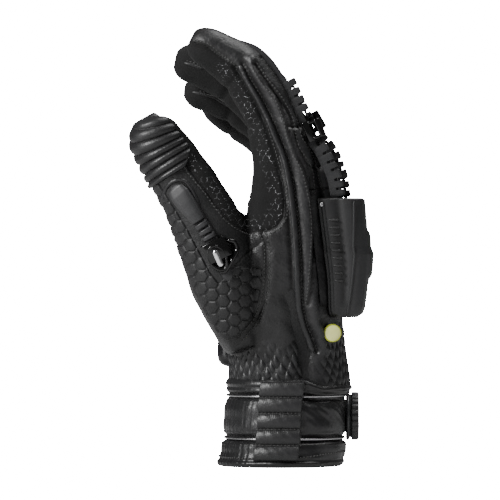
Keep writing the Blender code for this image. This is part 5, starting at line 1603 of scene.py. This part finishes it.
crown_soft = np.convolve(np.pad(crown, 4, mode="reflect", reflect_type="odd"), soften_by, "valid")
along = np.unique(np.concatenate([np.linspace(0, 0.12, 50), np.linspace(0.12, 1, 110)]))[:, None]
half = np.interp(along, POD["along"], POD["breadth"]) * POD_BREADTH / 2
rise = np.interp(along, POD["along"], POD["rise"]) * POD_HEIGHT
heights = POD_FOOT + along * (POD_MOUTH - POD_FOOT)


def pod_skin(inset):
    """The pod's shell, this far inside its outer face: from its foot on the hand up to
    the height of its crown at each place across it."""
    foot = hand_side(half - inset, heights, 1) + POD_PROUD * 0.2
    top = hand_side(0.0, heights, 1) + POD_PROUD + rise
    x = foot + (top - inset - foot) * crown_soft[None, :]
    return np.stack(np.broadcast_arrays(x, across_soft[None, :] * (half - inset), heights), axis=-1)


POD_DOMES, POD_DOME_HEIGHT = (-0.0315, -0.0105, 0.0105, 0.0315), 0.1180
POD_SLOTS, POD_SLOT_LOW, POD_SLOT_PITCH = 4, 0.0905, 0.0032
outer_pod, inner_pod = pod_skin(0.0), pod_skin(POD_WALL)
level = crown_soft[None, :]
fold = bell(level - 0.42, 0.07) * soft(0.05, 0.2, along)
ridge = bell(level - 0.20, 0.14)
outer_pod[..., 1] += np.sign(across_soft)[None, :] * (0.0011 * ridge - 0.0009 * fold)
# On the pod's back: a knuckle dome for each finger over a fold, and air slots below it.
back_y, back_z = outer_pod[..., 1], outer_pod[..., 2]
on_back = soft(0.90, 0.99, level)
for middle in POD_DOMES:
    aside, above = np.abs((back_y - middle) / 0.0095), np.abs((back_z - POD_DOME_HEIGHT) / 0.0150)
    off = (aside**3 + above**3) ** (1 / 3)
    outer_pod[..., 0] += on_back * (0.0016 * soft(1.0, 0.72, off) - 0.0005 * bell(off - 1.06, 0.05))
for k in range(POD_SLOTS):
    off = np.abs(back_z - (POD_SLOT_LOW + k * POD_SLOT_PITCH)) / 0.0009
    outer_pod[..., 0] -= on_back * 0.0011 * soft(1.2, 0.6, off) * soft(0.0285, 0.0270, np.abs(back_y))
shut = np.concatenate([inner_pod[:1] * 0.4 + inner_pod[:1].mean(1, keepdims=True) * 0.6, outer_pod[:1]])
lipped = (outer_pod[-1:] + inner_pod[-1:]) / 2 + (0, 0, 0.0007)
rings = np.concatenate([shut[:1], outer_pod, lipped, inner_pod[::-1]])
pod_plastic = moulded_finish("pod_moulding", (0.0135, 0.0135, 0.0140), (0.0220, 0.0220, 0.0230), 0.46)
shell = grid_faces(len(rings), 181, False)
pod = make_piece("knuckle_pod_shell", rings.reshape(-1, 3), shell, pod_plastic, "moulding")
outward(pod)
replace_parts(pod, "knuckle_pod")


def round_pod(along_at, level_at, off, foot_proud=POD_PROUD * 0.2):
    """Points on the pod's near side, at shares along it and up it, this far off it."""
    height = POD_FOOT + along_at * (POD_MOUTH - POD_FOOT)
    half_at = np.interp(along_at, POD["along"], POD["breadth"]) * POD_BREADTH / 2
    foot_x = hand_side(half_at, height, 1) + foot_proud
    rise_at = np.interp(along_at, POD["along"], POD["rise"]) * POD_HEIGHT
    top_x = hand_side(0.0, height, 1) + POD_PROUD + rise_at
    x = foot_x + (top_x - foot_x) * level_at
    return np.stack(np.broadcast_arrays(x, half_at + off, height), axis=-1)


# On each side of the pod: a row of raised bars, a rolled rim along its foot with a
# finer one above it, and a rivet at its mouth.
BAR_COUNT, BAR_FIRST, BAR_PITCH = 9, 0.0115, 0.0042
RIVET_REACH = np.array([0.0013, 0.0013, 0.0011, 0.0007, 0.0002])[:, None]
RIVET_RISE = np.array([-0.0010, 0.0003, 0.0008, 0.0011, 0.0012])[:, None]
bars, rims, rivets = [], [], []
for side in (-1, 1):
    for k in range(BAR_COUNT):
        along_at = (POD_MOUTH - BAR_FIRST - k * BAR_PITCH - POD_FOOT) / (POD_MOUTH - POD_FOOT)
        line = round_pod(along_at, np.linspace(0.17, 0.42, 7), 0.0007, 0.0) * (1, side, 1)
        bars.append(welt(line, np.tile([0.0, side, 0.0], (7, 1)), 0.0008, 0.0009, 0.0, 8, 2))
    along_at = np.linspace(0.02, 0.985, 90)
    sideways = np.tile([0.0, side, 0.0], (90, 1))
    rims.append(welt(round_pod(along_at, 0.10, 0.0003) * (1, side, 1), sideways, 0.0013, 0.0010))
    upper = round_pod(along_at, 0.50 + 0.25 * along_at, 0.0003) * (1, side, 1)
    rims.append(welt(upper, sideways, 0.0007, 0.0005))
    centre = round_pod(0.955, 0.06, 0.0010) * (1, side, 1)
    turn = round_turns(20)[None, :]
    around = (RIVET_REACH * np.cos(turn), side * RIVET_RISE + 0 * turn, RIVET_REACH * np.sin(turn))
    rivets.append(capped(centre + np.stack(around, axis=-1)))
plain_welts("pod_bars", bars, pod_plastic, "moulding")
plain_welts("pod_rims", rims, pod_plastic, "moulding")
plain_welts("pod_rivets", rivets, steel, "steel")


# The spines: moulded strips with teeth, one along each finger, running into the pod,
# with a rail down their middle and a glossy loop over each that holds it down.
SPINE_WIDTH, SPINE_HEIGHT, SPINE_STRIP = 0.0086, 0.0070, 0.0026
SPINE_TUCK = 0.0040
TOOTH_PITCH, TOOTH_GAP = 0.0051, 0.0013
LOOP_LONG, LOOP_ROOM, LOOP_HEADROOM = 0.0105, 0.0016, 0.0002
SPINE_CONVERGE = 0.12
SPINE_SETTLES = (-0.07, 0.10)
TONGUE = {"along": np.linspace(0.08, 1.0, 16), "length": 0.26, "height": 0.60, "width": 0.55}
SEAM_GAP, PANEL_GAP = 0.0003, 0.0005
SPINE_SQUARE = 2.4
RAIL_LEVEL = 0.62


def spine_start(name):
    """Where a finger's spine begins inside the pod's mouth, a share of its length."""
    return (POD_MOUTH - SPINE_TUCK - ROOT_HEIGHT) / FINGERS[name]["length"]


def back_path(name, s):
    """The line that a finger's spine follows: the finger's crown, carried down over
    the pad below its root, with the ways out and along."""
    s = np.asarray(s, float)
    middle, dorsal, _, depth, _ = finger_line(name, np.maximum(s, 0))
    crown = middle + dorsal * depth[:, None]
    root_breadth = 2 * HAND["breadth"][-1] * HAND_BREADTH
    y0 = (sum(FINGERS[name]["cell"]) / 2 - 0.5) * root_breadth
    below = np.minimum(s, 0)
    height = ROOT_HEIGHT + below * FINGERS[name]["length"]
    y = y0 * (1 - SPINE_CONVERGE * below / spine_start(name))
    edges = [y - SPINE_WIDTH / 2, y, y + SPINE_WIDTH / 2]
    highest = np.max([hand_side(e, height) for e in edges], axis=0)
    over_pad = highest + PAD_THICKNESS + 2 * PANEL_GAP
    fade = soft(*SPINE_SETTLES, s)
    plain = np.where(s < 0, highest + SEAM_GAP, crown[:, 0])
    lift = SEAM_GAP * (s >= 0) + (over_pad - plain) * (1 - fade)
    path = np.stack([plain + lift, y, height], axis=-1)
    path = np.where((s < 0)[:, None], path, crown + dorsal * lift[:, None])
    run = unit(np.gradient(path, axis=0))
    return path, unit(np.cross(ACROSS, run)), run


for name, finger in FINGERS.items():
    fine = np.linspace(spine_start(name), finger["teeth"] + TONGUE["length"], 400)
    line, out, _ = back_path(name, fine)
    gone = length_along(line)
    keeper = np.interp(finger["keeper"], fine, gone)
    teeth_end = np.interp(finger["teeth"], fine, gone)
    rows = []
    for k in range(int(teeth_end / TOOTH_PITCH)):
        start = k * TOOTH_PITCH
        stop = start + TOOTH_PITCH - TOOTH_GAP
        clear = LOOP_LONG / 2 + TOOTH_GAP
        if keeper - clear < stop and start < keeper + clear:
            rows += [(start + share * 0.0016, SPINE_STRIP, 1.0) for share in range(3)]
            continue
        rows += [(start, SPINE_STRIP, 0.97), (start + 0.00005, SPINE_HEIGHT * 0.93, 0.97)]
        rows += [(start + 0.0004, SPINE_HEIGHT, 1.0), (stop - 0.0004, SPINE_HEIGHT, 1.0)]
        rows += [(stop - 0.00005, SPINE_HEIGHT * 0.93, 0.97), (stop, SPINE_STRIP, 0.97)]
    last = rows[-1][0]
    for share in TONGUE["along"]:
        height = SPINE_STRIP * (1 - (1 - TONGUE["height"]) * share**3) * min(1.0, 3.2 * (1.02 - share))
        narrowed = 1 - (1 - TONGUE["width"]) * share**3
        rows.append((last + share * (gone[-1] - last), height, narrowed))
    at, height, width = np.array(rows).T
    middle, away = read_along(line, gone, at), read_along(out, gone, at)
    middle = middle - away * (0.0007 * soft(last, last + 0.006, at))[:, None]
    a = np.array([-1.0, 1.0, 1.0, 0.97, 0.90, 0.78, -0.78, -0.90, -0.97, -1.0])
    b = np.array([-0.5, -0.5, 0.80, 0.93, 0.985, 1.0, 1.0, 0.985, 0.93, 0.80])
    side = (width * SPINE_WIDTH / 2)[:, None] * a
    up = np.where(b < 0, b * SPINE_STRIP, height[:, None] * b)
    rings = middle[:, None] + side[..., None] * ACROSS + up[..., None] * away[:, None]
    spine = make_piece(f"{name}_toothed_spine", *capped(rings), spine_rubber, "moulding")
    outward(spine)
    spine.data.set_sharp_from_angle(angle=math.radians(38))
    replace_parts(spine, f"{name}_spine")
    rails = []
    clear = LOOP_LONG / 2 + 0.002
    for low, high in ((0.001, keeper - clear), (keeper + clear, last - 0.002)):
        rail_at = np.linspace(low, high, 70)
        away = read_along(out, gone, rail_at)
        middle = read_along(line, gone, rail_at) + away * SPINE_HEIGHT * RAIL_LEVEL
        rails.append(welt(middle, away, 0.0036, 0.0007))
    plain_welts(f"{name}_rail", rails, spine_rubber, "moulding")
    middle, out, run = back_path(name, finger["keeper"] + np.array([-0.01, 0.0, 0.01]))
    _, _, _, depth, breadth = finger_line(name, np.array([finger["keeper"]]))
    room = SPINE_WIDTH / 2 + LOOP_ROOM
    drop = depth[0] * (1 - (1 - (room / breadth[0]) ** SPINE_SQUARE) ** (1 / SPINE_SQUARE))
    height = SPINE_HEIGHT + LOOP_HEADROOM + 1.5 * LOOP_WALL + drop
    loop_over(
        f"{name}_loop", middle[1] - out[1] * (drop - SEAM_GAP), run[1], out[1], LOOP_LONG, room, height,
        f"{name}_keeper",
    )


# The palm: the hard slider on the heel of the hand, and the round button beside the
# wrist, a pale enamel disc in a darker rim.
def dome(name, low, high, square, thickness, material, slot, replaced):
    """A rounded plate over part of the palm: its height falls off as a superellipse
    of the distance from its middle."""
    v = np.linspace(-1, 1, 90)[:, None]
    u = np.linspace(-1, 1, 110)[None, :]
    heights = (low[0] + high[0]) / 2 + v * (high[0] - low[0]) / 2 + 0 * u
    turn = np.radians((low[1] + high[1]) / 2 + u * (high[1] - low[1]) / 2) + 0 * v
    off = (np.abs(u) ** square + np.abs(v) ** square) ** (1 / square)
    shape = np.sqrt(np.clip(1 - np.clip(off, 0, 1) ** 4, 0, 1))
    lift = thickness * shape - 0.0015 * soft(0.98, 1.02, off)
    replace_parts(grid_piece(name, hand_skin(heights, turn), False, lift, material, slot), replaced)


slider_plastic = moulded_finish("slider_plastic", (0.003, 0.003, 0.0035), (0.007, 0.007, 0.0075), 0.22, 0.02)
SLIDER_LOW, SLIDER_HIGH = (0.0545, 128.5), (0.0755, 167.5)
dome("palm_slider_plate", SLIDER_LOW, SLIDER_HIGH, 5.0, 0.0090, slider_plastic, "moulding", "palm_slider")

BUTTON_RADIUS, BUTTON_RISE, BUTTON_PROUD = 0.0051, 0.0022, 0.0034
BUTTON_TILT = (-0.45, -0.65, 0.0)
height, turn = CUFF_HEIGHT + 0.221 * HAND_LENGTH, math.radians(-45.0)
here = hand_skin(height, np.array([turn]), BUTTON_PROUD)[0]
around = hand_skin(height, np.array([turn - 0.1, turn + 0.1]))
above = hand_skin(np.array([height - 0.001, height + 0.001]), np.full(2, turn))
out = unit(unit(np.cross(around[1] - around[0], above[1] - above[0])) + BUTTON_TILT)
run = unit(np.cross((0.0, 0.0, 1.0), out))
up = np.cross(out, run)
BUTTON_PROFILE = (
    (-2.6, 0.0), (-2.6, 0.70), (-0.2, 0.98), (0.30, 1.0), (0.50, 0.985), (0.62, 0.96), (0.66, 0.93),
    (0.62, 0.90), (0.60, 0.88), (0.64, 0.84), (0.72, 0.72), (0.78, 0.45), (0.80, 0.2), (0.80, 0.02),
)
rise, reach = np.array(BUTTON_PROFILE).T
turn = round_turns(72)[None, :, None]
rings = here + (rise * BUTTON_RISE)[:, None, None] * out
rings = rings + (reach * BUTTON_RADIUS)[:, None, None] * (np.cos(turn) * run + np.sin(turn) * up)
enamel, tree, shader, where = new_material("button_enamel", 0.45, Coat_Weight=0.1)
face_tint = mixed(tree, noise(tree, where, 240.0), (0.93, 0.96, 0.30), (0.98, 1.00, 0.42))
off_middle = vector_of(tree, "DISTANCE", where, tuple(here)).outputs["Value"]
rim_mask = ramp(tree, off_middle, BUTTON_RADIUS * 0.86, BUTTON_RADIUS * 0.93)
tree.links.new(mixed(tree, rim_mask, face_tint, (0.42, 0.47, 0.03)), shader.inputs["Base Color"])
button = make_piece("enamel_button", *capped(rings), enamel, "button")
outward(button)
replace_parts(button, "wrist_button")


# The seams that the photograph doesn't show: each finger's two side seams, the bound
# edge of the suede palm, and the seam down the little-finger side, all stitched.
def along_finger(name, share, turn):
    """Points of a finger's skin, one for each share and turn, and the way out."""
    here, before, after = (
        finger_skin(name, share, np.full((1, 1), a), 0.0)[:, 0] for a in (turn, turn - 0.1, turn + 0.1)
    )
    out = unit(np.cross(after - before, np.gradient(here, axis=0)))
    middle = finger_line(name, share)[0]
    return here, out * np.sign(np.sum(out * (here - middle), axis=1, keepdims=True))


def settled(points, out, target, axis, positive):
    """A path carried onto a piece along an axis; the points that miss are left out."""
    sign = 1.0 if positive else -1.0
    start = points.copy()
    start[:, axis] -= sign * 0.03
    landed = dropped(start, target, axis, positive)
    met = np.abs(landed[:, axis] - start[:, axis]) > 1e-5
    near = np.abs(landed[:, axis] - points[:, axis]) < 0.006
    return landed[met & near], out[met & near]


welts, rows = [], []
for name in FINGERS:
    share = np.linspace(0.14, 0.93, 110)
    for side in (-1, 1):
        if name == "index" and side < 0:
            continue
        line, out = along_finger(name, share, side * math.radians(96))
        line, out = settled(line, out, skin, 1, side < 0)
        if len(line) > 12:
            welts.append(welt(line, out, 0.0008, 0.0006, WELT_SINK))
            rows.append(stitch_row(line + [0.0016, 0, 0.0010], out, STITCH_PITCH))
heights = np.linspace(0.056, 0.163, 150)
sideways = np.tile([0.0, 1.0, 0.0], (150, 1))
line, out = settled(hand_skin(heights, np.full(150, math.radians(100))), sideways, skin, 1, False)
welts.append(welt(line, out, 0.0016, 0.0011, WELT_SINK))
rows.append(stitch_row(line + [0.0032, 0, 0], out, STITCH_PITCH))
rows.append(stitch_row(line - [0.0032, 0, 0], out, STITCH_PITCH))
line, out = settled(hand_skin(heights, np.full(150, math.radians(74))), sideways, skin, 1, False)
welts.append(welt(line, out, 0.0010, 0.0008, WELT_SINK))
for outline, closed, half in (
    (PALM_OUTLINE, False, 0.0013), (PALM_PADS[0], True, 0), (PALM_PADS[1], True, 0),
):
    flat = traced(outline + outline[:1] * closed, 0.0006)
    start = np.stack([np.full(len(flat), -0.03), flat[:, 0], flat[:, 1]], axis=-1)
    start[:, 0] = dropped(start - (0.05, 0, 0), skin, 0, True)[:, 0]
    line, out = settled(start, np.tile([-1.0, 0.0, 0.0], (len(start), 1)), skin, 0, True)
    if half:
        welts.append(welt(line, out, half, 0.0009, WELT_SINK))
    rows.append(stitch_row(line, out, STITCH_PITCH))
make_piece("side_seam_welts", *merged(welts), edge_leather, "leather")
make_piece("side_seam_stitches", *merged(rows), black_thread, "soft_leather")
